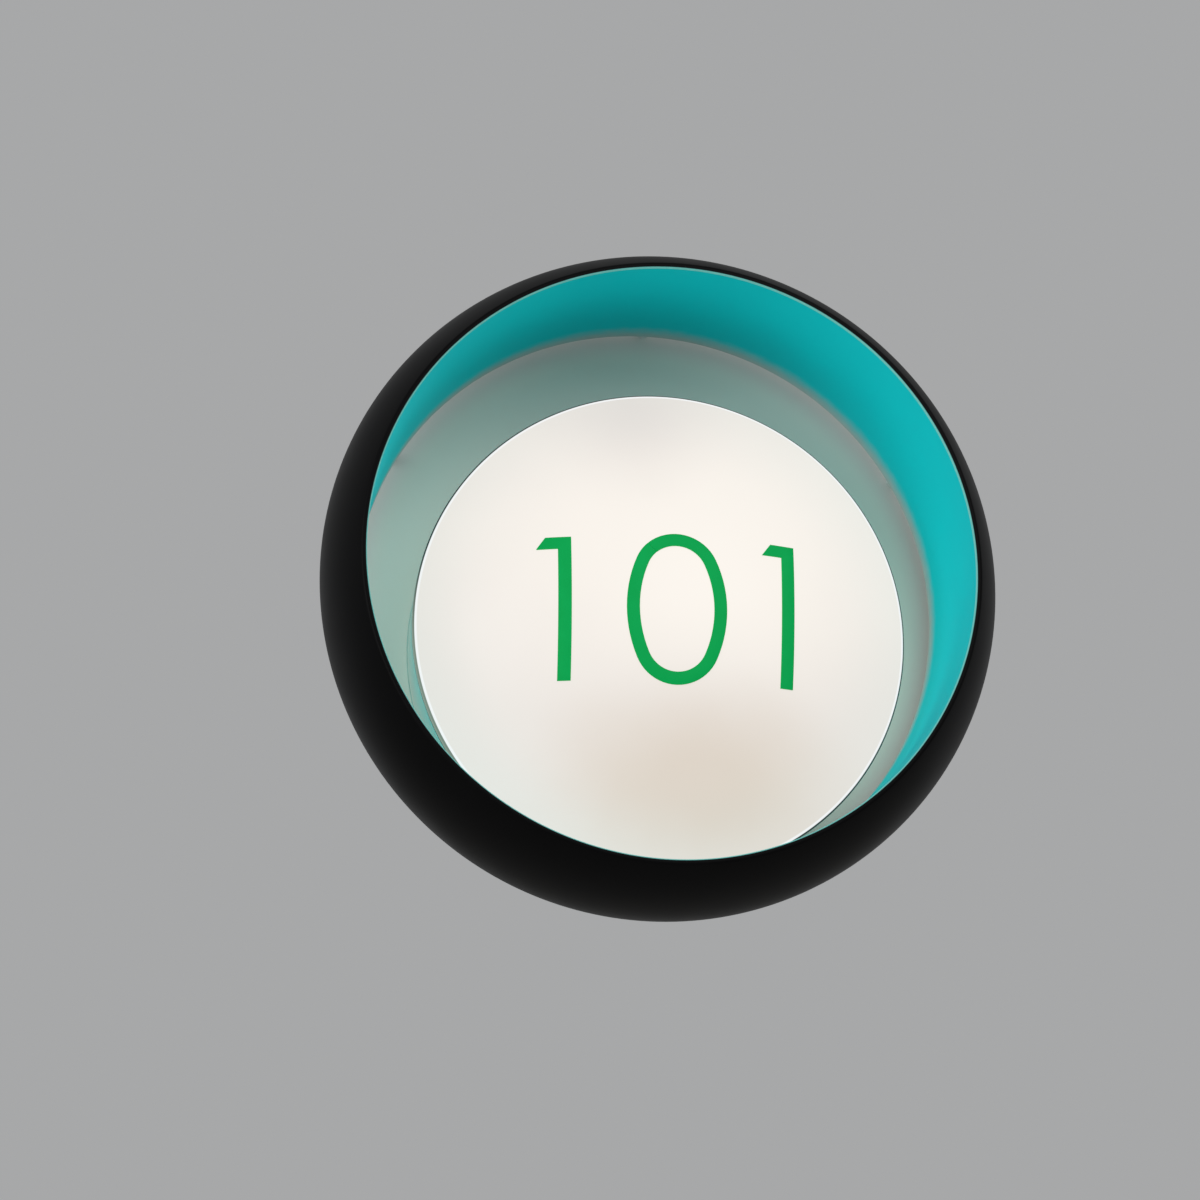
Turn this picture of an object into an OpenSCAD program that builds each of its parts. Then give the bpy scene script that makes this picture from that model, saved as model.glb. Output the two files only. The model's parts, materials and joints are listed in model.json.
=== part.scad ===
// Illuminated house number sign.
// A hollow, barrel-shaped ring stands off the wall. Inside it, hanging low against its inner wall, a round
// light housing carries an opal dome with the numerals. A gap behind the ring lets light out onto the wall.
// Every piece is drawn in a bench frame: the wall is z = 0, +z points out of the wall and +y points up.
// hang() turns the bench frame into the part's own frame: facing -Y, with +Z up and its origin on the wall.

/* [Ring] */
// Clear diameter of the ring's opening
opening_d = 300; // [280:1:340]
// Depth of the ring, from its front edge to the liner's rear edge
ring_depth = 96; // [88:1:120]
// Gap between the wall and the liner's rear edge
wall_gap = 14; // [13.5:0.5:24]
// Width of the flat lip around the opening
lip_w = 2.5; // [2:0.1:6]
// How far the shell swells beyond the lip
bulge = 17.5; // [11:0.5:22]
// Depth of the shell's widest circle behind the front edge
bulge_setback = 49; // [42:1:56]
// Width of the shell's flange around the liner at the rear
flange_w = 6.5; // [6:0.1:9]
// Thickness of the spun shell
shell_t = 1.5; // [1:0.1:2.5]
// Thickness of the rolled liner
liner_t = 1.5; // [1:0.1:2]
// How far the liner reaches back beyond the shell
liner_tail = 4; // [2:0.5:8]
// Number of studs that hold the ring
ring_stud_count = 6; // [3:1:8]
// Diameter of the ring studs
ring_stud_d = 3; // [2.5:0.5:3]
// Outer diameter of the spacer tubes
spacer_d = 6; // [5:0.5:6]
// Width of the angle brackets inside the ring
ring_bracket_w = 14; // [10:1:20]
// Height of the angle brackets along the liner
ring_bracket_h = 16; // [10:1:24]
// Sheet thickness of the angle brackets
ring_bracket_t = 1.2; // [0.8:0.1:1.6]

/* [Back plate and wall bracket] */
// Thickness of the back plate
plate_t = 2; // [1.5:0.1:2.5]
// How far the back plate reaches beyond the ring's opening
plate_overlap = 4; // [2:0.5:6]
// Gap between the liner's rear edge and the back plate, which lets the light out
light_gap = 6; // [5:0.5:6.5]
// Length of the wall bracket
bracket_l = 190; // [182:1:206]
// Width of the wall bracket
bracket_w = 28; // [20:1:36]
// Sheet thickness of the wall bracket
bracket_t = 2; // [1.5:0.1:2.2]
// Distance between the two fixing slots
slot_spacing = 76; // [60:1:90]
// Width of the fixing slots
slot_w = 5.5; // [4.5:0.1:7]
// End-to-end length of the fixing slots
slot_l = 14; // [10:1:20]
// Half length of the bracket's flat middle
bracket_flat = 55; // [54:1:58]
// Length of each joggle
joggle_l = 8; // [6:1:9]
// Distance between the two studs that carry the sign
carrier_spacing = 162; // [160:1:168]
// Diameter of those studs
carrier_d = 4; // [4:0.5:5]
// Diameter of the rubber wall buffers
buffer_d = 12; // [8:1:14]
// Radius at which the buffers stand
buffer_r = 138; // [130:1:140]

/* [Light housing] */
// Wall thickness of the housing
housing_wall = 3; // [2.5:0.1:4]
// Thickness of the housing floor
housing_floor = 2; // [2:0.1:3]
// How far the rim flange stands out beyond the housing wall
rim_w = 2; // [1:0.5:3]
// Thickness of the rim flange
rim_t = 1.5; // [1:0.1:2.5]
// Height of the spigot above the lens foot
spigot_h = 4.5; // [3.5:0.5:5]
// Radial clearance between spigot and lens skirt
spigot_gap = 0.4; // [0.3:0.1:0.8]
// Distance of the housing screws from the housing axis
housing_screw_r = 104; // [100:1:106]
// Diameter of the housing screws
housing_screw_d = 4; // [3:0.5:5]
// Bore of the cable grommet
cable_d = 9; // [6:0.5:11]
// Distance of the cable entry below the housing axis
cable_drop = 20; // [18:1:24]

/* [Lens] */
// Diameter of the opal dome
lens_d = 248; // [244:1:256]
// Height of the dome above its base circle
lens_crown = 43.5; // [34:0.5:45]
// Thickness of the dome
lens_wall = 3; // [2:0.1:4]
// Length of the straight skirt behind the dome
lens_skirt = 5; // [5:0.5:7]
// Depth of the dome's base circle behind the ring's front edge
lens_setback = 46.5; // [45:0.5:50]
// Clearance between the dome and the liner at the bottom
lens_edge_gap = 1; // [0.5:0.1:4]
// Thickness of the ring seal under the skirt
gasket_t = 1.5; // [1:0.1:2.5]

/* [Numerals] */
// Height of the figure 1
digit_h = 72.3; // [50:0.1:90]
// Stroke width of every figure
digit_stroke = 6.3; // [4:0.1:9]
// Thickness of the figures
digit_t = 0.8; // [0.3:0.1:1]
// Adhesive film under the figures
film_t = 0.1; // [0.05:0.05:0.2]
// Width of the figure 0
zero_w = 49.2; // [40:0.1:60]
// How far the figure 0 overshoots the 1 at top and bottom
zero_overshoot = 1.8; // [0:0.1:3]
// Width of the seam where the 0 closes
zero_seam = 0.4; // [0.3:0.1:0.8]
// Distance from the first 1 to the 0
pitch_left = 53.9; // [50:0.1:60]
// Distance from the 0 to the last 1
pitch_right = 56.2; // [50:0.1:60]
// Lean of the last 1
lean = 1.2; // [0:0.1:3]
// Distance of the figure 0 to the right of the dome's centre
figures_right = 0.9; // [-3:0.1:3]
// Distance of the figures below the dome's centre
figures_down = 0.5; // [-3:0.1:3]

/* [Light source] */
// Height of the LED tray above the housing floor
tray_lift = 28; // [27:0.5:29]
// Diameter of the LED tray
tray_d = 224; // [216:1:230]
// Thickness of the LED tray
tray_t = 2; // [1.5:0.1:3]
// Width across flats of the tray pillars
pillar_af = 7; // [6:0.5:8]
// Diameter of the LED board
board_d = 176; // [160:1:184]
// Distance of the tray pillars' axes from the LED board's edge
pillar_gap = 7; // [6:0.5:8]
// Thickness of the LED board
board_t = 1.6; // [1:0.1:2]
// Side of an LED package
chip_w = 3.5; // [2.5:0.1:5]
// Height of an LED package
chip_t = 0.8; // [0.5:0.1:1.2]
// Sheet thickness of the reflector
reflector_t = 1; // [0.8:0.1:1.5]
// Length of the LED driver without its ears
driver_l = 112; // [80:1:114]
// Width of the LED driver
driver_w = 36; // [26:1:38]
// Height of the LED driver
driver_h = 24; // [16:1:26]
// Diameter of the insulated leads
lead_d = 2.6; // [1.6:0.1:3]

/* [Hidden] */

// Cuts run this far past the faces they open.
over = 1;
// Facets of a full circle: large surfaces, small round pieces.
fine = 240;
small = 40;
// Clearances: a screw in its hole, a nut on its stud, one piece laid beside another.
screw_gap = 0.3;
thread_gap = 0.05;
lay_gap = 0.2;

// Ring
opening_r = opening_d / 2;
front_z = wall_gap + ring_depth;
liner_r = opening_r + liner_t;
lip_r = opening_r + lip_w;
apex_r = lip_r + bulge;
apex_z = front_z - bulge_setback;
shell_rear_z = wall_gap + liner_tail;
rear_setback = apex_z - shell_rear_z;
rear_bulge = apex_r - liner_r - flange_w;
front_arc_r = (bulge_setback * bulge_setback + bulge * bulge) / (2 * bulge);
rear_arc_r = (rear_setback * rear_setback + rear_bulge * rear_bulge) / (2 * rear_bulge);
lip_round = 0.8;
spacer_r = spacer_d / 2;
ring_stud_gap = 0.1;
ring_stud_r = liner_r + spacer_r + ring_stud_gap;
ring_stud_start = 30;
clinch_r = spacer_r - ring_bracket_t;
clinch_t = 0.8;
lug_r = spacer_r + 0.4;
// Radius of the shell's inner face where it meets the rear flange, and the bracket feet that end beside it.
flange_root_r = apex_r - rear_arc_r + sqrt(pow(rear_arc_r - shell_t, 2) - pow(rear_setback - shell_t, 2));
ring_bracket_foot = flange_root_r - lay_gap - liner_r - thread_gap;

// Back plate and wall bracket
plate_r = opening_r + plate_overlap;
plate_front = wall_gap - light_gap;
plate_rear = plate_front - plate_t;
m3_nut_af = 5.5;
m3_nut_h = 2.4;
stud_tail = 0.8;
carrier_head_r = 4;
carrier_head_t = 1.5;
washer_r = 5.5;
washer_t = 1;
cap_nut_af = 7;
cap_nut_h = 8;
cap_wall = 1.2;

// Housing and lens
lens_r = lens_d / 2;
lens_drop = opening_r - lens_r - lens_edge_gap;
lens_base_z = front_z - lens_setback;
lens_foot_z = lens_base_z - lens_skirt;
seat_z = lens_foot_z - gasket_t;
skirt_r = lens_r - lens_wall;
dome_r = (lens_r * lens_r + lens_crown * lens_crown) / (2 * lens_crown);
dome_z = lens_base_z + lens_crown - dome_r;
housing_r = lens_r - rim_w;
cavity_r = housing_r - housing_wall;
spigot_r = skirt_r - spigot_gap;
spigot_top = lens_foot_z + spigot_h;
floor_z = plate_front + housing_floor;
boss_r = 5;
boss_h = 8;
housing_head_r = 3.6;
housing_head_h = 2.2;

// End arcs of the figure 0 and the direction of its seam
end_r = 0.43 * zero_w;
end_y = digit_h / 2 + zero_overshoot - end_r;
seam_angle = 131;

// Springs that grip the skirt
spring_count = 3;
spring_start = 90;
spring_w = 10;
spring_t = 0.6;
spring_reach = spigot_r;
spring_foot_r = cavity_r - 0.15;
spring_foot_h = 10;
window_w = spring_w + 2;
window_drop = 2;
rivet_r = 1.2;
rivet_head_r = 2;
rivet_head_t = 0.7;
rivet_depth = 1.5;

// Supply side
grommet_wall = 3;
grommet_lip = 2.5;
grommet_lip_t = 2;
cable_r = cable_d / 2;
cable_hole_r = cable_r + grommet_wall;
terminal_pole = 10;
terminal_poles = 3;
terminal_x = -40;
terminal_y = -50;
terminal_w = 20;
terminal_h = 12;
terminal_tower_w = 8.4;
terminal_tower_h = 5;
terminal_bore = 3.4;
terminal_bore_z = 6;
terminal_screw_r = 1.75;
terminal_screw_y = 5.5;
terminal_l = terminal_poles * terminal_pole;
terminal_tab = 7;
terminal_tab_t = 3;
earth_x = 34;
earth_y = -56;
earth_d = 4;
earth_h = 14;
earth_hex_af = 7;
earth_hex_h = 3.2;
earth_tag_t = 0.8;

// Light source
tray_z = floor_z + tray_lift;
board_z = tray_z + tray_t;
chip_z = board_z + board_t;
board_r = board_d / 2;
board_bore_r = 12;
board_screw_r = 0.75 * board_r;
board_screw_count = 4;
board_screw_start = 45;
wire_hole_r = 4;
wire_hole_angle = -20;
connector_l = 12;
connector_w = 9;
connector_h = 5;
connector_angle = -34;
// Rings of LEDs: radius as a share of the board's, and how many stand on it.
chip_rings = [[0.34, 8], [0.615, 16], [0.885, 24]];
pillar_r = board_r + pillar_gap;
reflector_hole_margin = 4;
reflector_flat = 8;
reflector_edge_gap = 0.6;
reflector_in_r = pillar_r - reflector_hole_margin;
reflector_foot_r = pillar_r + reflector_flat;
reflector_rim_r = spring_foot_r - spring_t - reflector_edge_gap;
m3_head_r = 2.8;
m3_head_h = 1.8;
m3_r = 1.5;
m3_bite = 8;
pillar_bore = 12;
driver_y = 50;
driver_round = 4;
driver_ear = 8;
driver_ear_t = 2;
driver_lead_y = 4;
driver_lead_z = 12;
driver_screw_r = 1.75;

lead_sides = 8;
lead_steps = 5;

// The bench frame becomes the part's frame.
module hang() {
  rotate([90, 0, 0]) children();
}

// Things that share the housing's axis hang lens_drop below the ring's axis.
module at_lens() {
  translate([0, -lens_drop, 0]) children();
}

// Copies n children around the axis at radius r, each turned outwards.
module around(n, r, start = 0) {
  for (i = [0 : n - 1]) rotate(start + i * 360 / n) translate([r, 0, 0]) children();
}

// One child at each of the two carrying studs.
module at_carriers() {
  for (side = [-1, 1]) translate([side * carrier_spacing / 2, 0, 0]) children();
}

// A straight round bore from z = low to z = high, cut past both ends.
module bore(r, low, high) {
  translate([0, 0, low - over]) cylinder(r = r, h = high - low + 2 * over, $fn = small);
}

// A tube with its bore.
module tube(outer, inner, low, high, facets = small) {
  difference() {
    translate([0, 0, low]) cylinder(r = outer, h = high - low, $fn = facets);
    translate([0, 0, low - over]) cylinder(r = inner, h = high - low + 2 * over, $fn = facets);
  }
}

// A hexagonal prism by its width across flats.
module hex(af, low, high) {
  translate([0, 0, low]) cylinder(r = af / 2 / cos(30), h = high - low, $fn = 6);
}

// A round screw head with a cross recess, top at z = high.
module cross_head(r, low, high) {
  recess = 0.6 * (high - low);
  difference() {
    translate([0, 0, low]) cylinder(r1 = r, r2 = 0.8 * r, h = high - low, $fn = small);
    for (turn = [0, 90]) rotate(turn)
      translate([-0.55 * r, -0.14 * r, high - recess]) cube([1.1 * r, 0.28 * r, recess + over]);
  }
}

// A plain screw: head above z = top, shank down to z = bottom.
module screw(shank_r, head_r, head_h, top, bottom) {
  cross_head(head_r, top, top + head_h);
  translate([0, 0, bottom]) cylinder(r = shank_r, h = top - bottom, $fn = small);
}

// One side of the widest circle: a circular arc with its centre in the plane of that circle.
module half_barrel(arc_r, low, high, inset) {
  intersection() {
    translate([apex_r - arc_r, apex_z]) circle(r = arc_r - inset, $fn = fine);
    translate([opening_r, low]) square([apex_r, high - low]);
  }
}

// The ring's outer profile in section: one arc to the lip and one to the rear flange, meeting at the apex.
module barrel_section(inset) {
  half_barrel(front_arc_r, apex_z, front_z - inset, inset);
  half_barrel(rear_arc_r, shell_rear_z + inset, apex_z, inset);
}

// The lip's inner corner is rolled to a small radius.
module lip_corner() {
  difference() {
    translate([opening_r - over, front_z - lip_round]) square([over + lip_round, lip_round + over]);
    translate([opening_r + lip_round, front_z - lip_round]) circle(r = lip_round, $fn = small);
  }
}

module outer_shell() {
  color("#0b0b0c") hang() difference() {
    rotate_extrude($fn = fine) difference() {
      barrel_section(0);
      intersection() {
        barrel_section(shell_t);
        translate([liner_r, 0]) square([apex_r, front_z]);
      }
      translate([opening_r - over, 0]) square([liner_t + over, front_z - shell_t]);
      lip_corner();
    }
    around(ring_stud_count, ring_stud_r, ring_stud_start)
      bore(ring_stud_d / 2 + screw_gap, shell_rear_z, shell_rear_z + shell_t);
  }
}

module liner() {
  color("#12b0b0") hang() tube(liner_r, opening_r, wall_gap, front_z - shell_t, fine);
}

module ring_brackets() {
  seat = shell_rear_z + shell_t;
  color("silver") hang() rotate(ring_stud_start) for (i = [0 : ring_stud_count - 1])
    rotate(i * 360 / ring_stud_count) difference() {
      intersection() {
        rotate_extrude($fn = fine) translate([liner_r + thread_gap, seat]) {
          square([ring_bracket_t, ring_bracket_h]);
          square([ring_bracket_foot, ring_bracket_t]);
        }
        translate([0, -ring_bracket_w / 2, 0]) cube([apex_r, ring_bracket_w, front_z]);
      }
      translate([ring_stud_r, 0, 0]) bore(ring_stud_d / 2 + thread_gap, seat, seat + ring_bracket_t);
    }
}

module ring_studs() {
  top = shell_rear_z + shell_t + ring_bracket_t;
  bottom = plate_rear - m3_nut_h - stud_tail;
  color("silver") hang() around(ring_stud_count, ring_stud_r, ring_stud_start) {
    translate([0, 0, bottom]) cylinder(d = ring_stud_d, h = top - bottom, $fn = small);
    translate([0, 0, top]) cylinder(r = clinch_r, h = clinch_t, $fn = small);
  }
}

module ring_spacers() {
  color("silver") hang() around(ring_stud_count, ring_stud_r, ring_stud_start)
    tube(spacer_r, ring_stud_d / 2 + thread_gap, plate_front, shell_rear_z);
}

module ring_nuts() {
  color("silver") hang() around(ring_stud_count, ring_stud_r, ring_stud_start) difference() {
    hex(m3_nut_af, plate_rear - m3_nut_h, plate_rear);
    bore(ring_stud_d / 2 + thread_gap, plate_rear - m3_nut_h, plate_rear);
  }
}

module back_plate() {
  color("#c3c8c2") hang() difference() {
    translate([0, 0, plate_rear]) linear_extrude(plate_t) {
      circle(r = plate_r, $fn = fine);
      around(ring_stud_count, ring_stud_r, ring_stud_start) {
        circle(r = lug_r, $fn = small);
        translate([-2 * lug_r, -lug_r]) square([2 * lug_r, 2 * lug_r]);
      }
    }
    around(ring_stud_count, ring_stud_r, ring_stud_start)
      bore(ring_stud_d / 2 + screw_gap, plate_rear, plate_front);
    at_carriers() bore(carrier_d / 2 + screw_gap, plate_rear, plate_front);
    at_lens() {
      around(4, housing_screw_r, 45) bore(housing_screw_d / 2 + screw_gap, plate_rear, plate_front);
      translate([0, -cable_drop, 0]) bore(cable_hole_r, plate_rear, plate_front);
    }
  }
}

// Side profile of the wall bracket: flat on the wall, joggled up to the back plate at both ends.
module joggled_strap() {
  half = [
    [bracket_flat, 0],
    [bracket_flat + joggle_l, plate_rear - bracket_t],
    [bracket_l / 2, plate_rear - bracket_t],
    [bracket_l / 2, plate_rear],
    [bracket_flat + joggle_l, plate_rear],
    [bracket_flat, bracket_t]
  ];
  last = len(half) - 1;
  polygon(concat(half, [for (i = [last : -1 : 0]) [-half[i][0], half[i][1]]]));
}

module wall_bracket() {
  end_r = bracket_w / 2;
  color("#9a9fa3") hang() difference() {
    intersection() {
      rotate([90, 0, 0]) linear_extrude(bracket_w, center = true) joggled_strap();
      linear_extrude(plate_rear) {
        square([bracket_l - bracket_w, bracket_w], center = true);
        for (side = [-1, 1]) translate([side * (bracket_l / 2 - end_r), 0]) circle(r = end_r, $fn = small);
      }
    }
    for (side = [-1, 1]) translate([side * slot_spacing / 2, 0, 0]) {
      for (end = [-1, 1]) translate([end * (slot_l - slot_w) / 2, 0, 0]) bore(slot_w / 2, 0, bracket_t);
      translate([-(slot_l - slot_w) / 2, -slot_w / 2, -over])
        cube([slot_l - slot_w, slot_w, bracket_t + 2 * over]);
    }
    at_carriers() bore(carrier_d / 2 + thread_gap, plate_rear - bracket_t, plate_rear);
  }
}

module bracket_studs() {
  head_top = plate_rear - bracket_t;
  tip = floor_z + washer_t + cap_nut_h - cap_wall - lay_gap;
  color("silver") hang() at_carriers() {
    translate([0, 0, head_top - carrier_head_t])
      cylinder(r = carrier_head_r, h = carrier_head_t, $fn = small);
    translate([0, 0, head_top]) cylinder(d = carrier_d, h = tip - head_top, $fn = small);
  }
}

module stud_washers() {
  color("#1c1c1c") hang() at_carriers()
    tube(washer_r, carrier_d / 2 + thread_gap, floor_z, floor_z + washer_t);
}

module cap_nuts() {
  low = floor_z + washer_t;
  hex_h = cap_nut_h - cap_nut_af / 2 + cap_wall;
  color("silver") hang() at_carriers() difference() {
    union() {
      hex(cap_nut_af, low, low + hex_h);
      translate([0, 0, low]) cylinder(d = cap_nut_af - 2 * lay_gap, h = cap_nut_h - cap_wall, $fn = small);
      translate([0, 0, low + cap_nut_h - cap_wall])
        cylinder(d1 = cap_nut_af - 2 * lay_gap, d2 = cap_nut_af / 2, h = cap_wall, $fn = small);
    }
    translate([0, 0, low - over])
      cylinder(r = carrier_d / 2 + thread_gap, h = cap_nut_h - cap_wall + over, $fn = small);
  }
}

module wall_buffers() {
  color("#171717") hang() around(4, buffer_r, 45)
    cylinder(d1 = buffer_d, d2 = buffer_d - 2, h = plate_rear, $fn = small);
}

module light_housing() {
  color("#e9ebe6") hang() at_lens() difference() {
    union() {
      difference() {
        union() {
          translate([0, 0, plate_front]) cylinder(r = housing_r, h = seat_z - plate_front, $fn = fine);
          translate([0, 0, seat_z - rim_t]) cylinder(r = lens_r, h = rim_t, $fn = fine);
          translate([0, 0, seat_z - over]) cylinder(r = spigot_r, h = spigot_top - seat_z + over, $fn = fine);
        }
        translate([0, 0, floor_z]) cylinder(r = cavity_r, h = front_z, $fn = fine);
      }
      around(4, housing_screw_r, 45)
        translate([0, 0, floor_z - over]) cylinder(r = boss_r, h = boss_h + over, $fn = small);
    }
    around(4, housing_screw_r, 45) translate([0, 0, plate_front - over])
      cylinder(r = housing_screw_d / 2 + thread_gap, h = boss_h + over, $fn = small);
    translate([0, lens_drop, 0]) at_carriers() bore(carrier_d / 2 + screw_gap, plate_front, floor_z);
    translate([0, -cable_drop, 0]) bore(cable_hole_r, plate_front, floor_z);
    around(spring_count, cavity_r, spring_start)
      translate([-over, -window_w / 2, seat_z - window_drop])
        cube([over + spigot_r - cavity_r + lay_gap, window_w, spigot_top - seat_z + window_drop + over]);
    around(spring_count, 0, spring_start) translate([cavity_r - over, 0, spring_rivet_z()])
      rotate([0, 90, 0]) cylinder(r = rivet_r + thread_gap, h = over + rivet_depth + lay_gap, $fn = small);
  }
}

module housing_screws() {
  color("silver") hang() at_lens() around(4, housing_screw_r, 45) mirror([0, 0, 1])
    screw(housing_screw_d / 2, housing_head_r, housing_head_h, -plate_rear, -floor_z - boss_h + 3);
}

module cable_grommet() {
  lip_outer = cable_hole_r + grommet_lip;
  neck_r = cable_hole_r - thread_gap;
  color("#202020") hang() at_lens() translate([0, -cable_drop, 0]) difference() {
    union() {
      translate([0, 0, plate_rear]) cylinder(r = neck_r, h = floor_z - plate_rear, $fn = small);
      translate([0, 0, plate_rear - grommet_lip_t])
        cylinder(r1 = lip_outer - 1, r2 = lip_outer, h = grommet_lip_t, $fn = small);
      translate([0, 0, floor_z]) cylinder(r1 = lip_outer, r2 = lip_outer - 1, h = grommet_lip_t, $fn = small);
    }
    bore(cable_r, plate_rear - grommet_lip_t, floor_z + grommet_lip_t);
  }
}

// Pole centres of the terminal block, on its own axis.
function pole_x(i) = (i - (terminal_poles - 1) / 2) * terminal_pole;

module at_terminal() {
  at_lens() translate([terminal_x, terminal_y, floor_z]) children();
}

module terminal_block() {
  tower_z = terminal_h + terminal_tower_h;
  color("#efe9d8") hang() at_terminal() difference() {
    union() {
      translate([-terminal_l / 2, -terminal_w / 2, 0]) cube([terminal_l, terminal_w, terminal_h]);
      translate([-terminal_l / 2 - terminal_tab, -terminal_tab / 2, 0])
        cube([terminal_l + 2 * terminal_tab, terminal_tab, terminal_tab_t]);
      for (i = [0 : terminal_poles - 1]) translate([pole_x(i), 0, terminal_h])
        for (end = [-1, 1]) translate([0, end * terminal_screw_y, 0])
          cylinder(d = terminal_tower_w, h = terminal_tower_h, $fn = small);
    }
    for (i = [0 : terminal_poles - 1]) translate([pole_x(i), 0, 0]) {
      translate([0, 0, terminal_bore_z]) rotate([90, 0, 0])
        cylinder(d = terminal_bore, h = terminal_w + 2 * over, center = true, $fn = small);
      for (end = [-1, 1]) translate([0, end * terminal_screw_y, terminal_h - 2])
        cylinder(r = terminal_screw_r + screw_gap, h = tower_z, $fn = small);
    }
    for (side = [-1, 1]) translate([side * (terminal_l + terminal_tab) / 2, 0, 0])
      bore(m3_r + screw_gap, 0, terminal_tab_t);
  }
}

module terminal_screws() {
  top = terminal_h + terminal_tower_h - 1;
  foot = terminal_h - 2;
  color("#c9a24a") hang() at_terminal() for (i = [0 : terminal_poles - 1]) for (end = [-1, 1])
    translate([pole_x(i), end * terminal_screw_y, 0])
      difference() {
        translate([0, 0, foot]) cylinder(r = terminal_screw_r, h = top - foot, $fn = small);
        translate([-terminal_screw_r, -0.3, top - 0.8]) cube([2 * terminal_screw_r, 0.6, 0.8 + over]);
      }
}

module terminal_fixings() {
  color("silver") hang() at_terminal() for (side = [-1, 1])
    translate([side * (terminal_l + terminal_tab) / 2, 0, 0])
      screw(m3_r, m3_head_r, m3_head_h, terminal_tab_t, 0);
}

module at_driver() {
  at_lens() translate([0, driver_y, floor_z]) children();
}

module driver_case() {
  half_l = driver_l / 2 - driver_round;
  half_w = driver_w / 2 - driver_round;
  color("#f2f2ef") hang() at_driver() difference() {
    union() {
      for (x = [-half_l, half_l]) for (y = [-half_w, half_w])
        translate([x, y, 0]) cylinder(r = driver_round, h = driver_h, $fn = small);
      translate([-driver_l / 2, -half_w, 0]) cube([driver_l, 2 * half_w, driver_h]);
      translate([-half_l, -driver_w / 2, 0]) cube([2 * half_l, driver_w, driver_h]);
      translate([-driver_l / 2 - driver_ear, -driver_ear, 0])
        cube([driver_l + 2 * driver_ear, 2 * driver_ear, driver_ear_t]);
    }
    for (side = [-1, 1]) {
      translate([side * (driver_l + driver_ear) / 2, 0, 0]) bore(driver_screw_r + screw_gap, 0, driver_ear_t);
      for (lead = [-1, 1]) translate([side * driver_l / 2, lead * driver_lead_y, driver_lead_z])
        rotate([0, 90, 0]) cylinder(d = lead_d + 2 * thread_gap, h = 2 * lead_d, center = true, $fn = small);
    }
  }
}

module driver_screws() {
  color("silver") hang() at_driver() for (side = [-1, 1])
    translate([side * (driver_l + driver_ear) / 2, 0, 0])
      screw(driver_screw_r, m3_head_r + 0.4, m3_head_h, driver_ear_t, 0);
}

module at_earth() {
  at_lens() translate([earth_x, earth_y, floor_z]) children();
}

module earth_stud() {
  color("#c9a24a") hang() at_earth() {
    cylinder(d = earth_d, h = earth_h, $fn = small);
    cylinder(d = earth_d + 4, h = 1, $fn = small);
  }
}

module earth_nuts() {
  color("#c9a24a") hang() at_earth() {
    difference() {
      hex(earth_hex_af, 1, 1 + earth_hex_h);
      bore(earth_d / 2 + thread_gap, 1, 1 + earth_hex_h);
    }
    tag_z = 1 + earth_hex_h;
    difference() {
      union() {
        translate([0, 0, tag_z]) cylinder(d = earth_d + 4, h = earth_tag_t, $fn = small);
        translate([-10, -2, tag_z]) cube([10, 4, earth_tag_t]);
      }
      bore(earth_d / 2 + thread_gap, tag_z, tag_z + earth_tag_t);
    }
    difference() {
      hex(earth_hex_af, tag_z + earth_tag_t, tag_z + earth_tag_t + earth_hex_h);
      bore(earth_d / 2 + thread_gap, tag_z + earth_tag_t, tag_z + earth_tag_t + earth_hex_h);
    }
  }
}

// Points along a smooth curve through the route, by Catmull-Rom segments.
function spline_point(a, b, c, d, t) = 0.5 * (2 * b + (c - a) * t + (2 * a - 5 * b + 4 * c - d) * t * t
  + (3 * b - a - 3 * c + d) * t * t * t);
function smooth(route) = let (last = len(route) - 1) concat(
  [for (i = [0 : last - 1]) for (k = [0 : lead_steps - 1])
    spline_point(route[max(i - 1, 0)], route[i], route[i + 1], route[min(i + 2, last)], k / lead_steps)],
  [route[last]]);
function unit(v) = v / norm(v);
// One ring of points square to the path; a lead never runs parallel to the reference direction.
function ring_at(path, i, r) = let (
    along = unit(path[min(i + 1, len(path) - 1)] - path[max(i - 1, 0)]),
    side = unit(cross(along, [0.31, 0.2, 0.93])),
    up = cross(side, along),
    step = 360 / lead_sides
  ) [for (k = [0 : lead_sides - 1]) path[i] + r * (cos(k * step) * side + sin(k * step) * up)];

// A lead: one closed tube swept along the smoothed route.
module lead(route) {
  path = smooth(route);
  last = len(path) - 1;
  skin = [for (i = [0 : last]) each ring_at(path, i, lead_d / 2)];
  walls = [for (i = [0 : last - 1]) for (k = [0 : lead_sides - 1])
    let (next = (k + 1) % lead_sides) for (tri = [
      [i * lead_sides + k, (i + 1) * lead_sides + k, (i + 1) * lead_sides + next],
      [i * lead_sides + k, (i + 1) * lead_sides + next, i * lead_sides + next]]) tri];
  start = [for (k = [0 : lead_sides - 1]) k];
  end = [for (k = [lead_sides - 1 : -1 : 0]) last * lead_sides + k];
  polyhedron(points = skin, faces = concat(walls, [start], [end]));
}

// A lead runs straight where it enters a piece: this far in, this far out, and on to the first bend.
lead_in = 2;
lead_out = 1.5;
lead_straight = 5;
terminal_face_y = terminal_y + terminal_w / 2;
terminal_out_z = floor_z + terminal_bore_z;
driver_face_x = driver_l / 2;
driver_out_z = floor_z + driver_lead_z;
// How far the leads swing out beyond the driver's ends.
lead_swing = 15;
function between(low, high, share) = low + share * (high - low);

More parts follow.
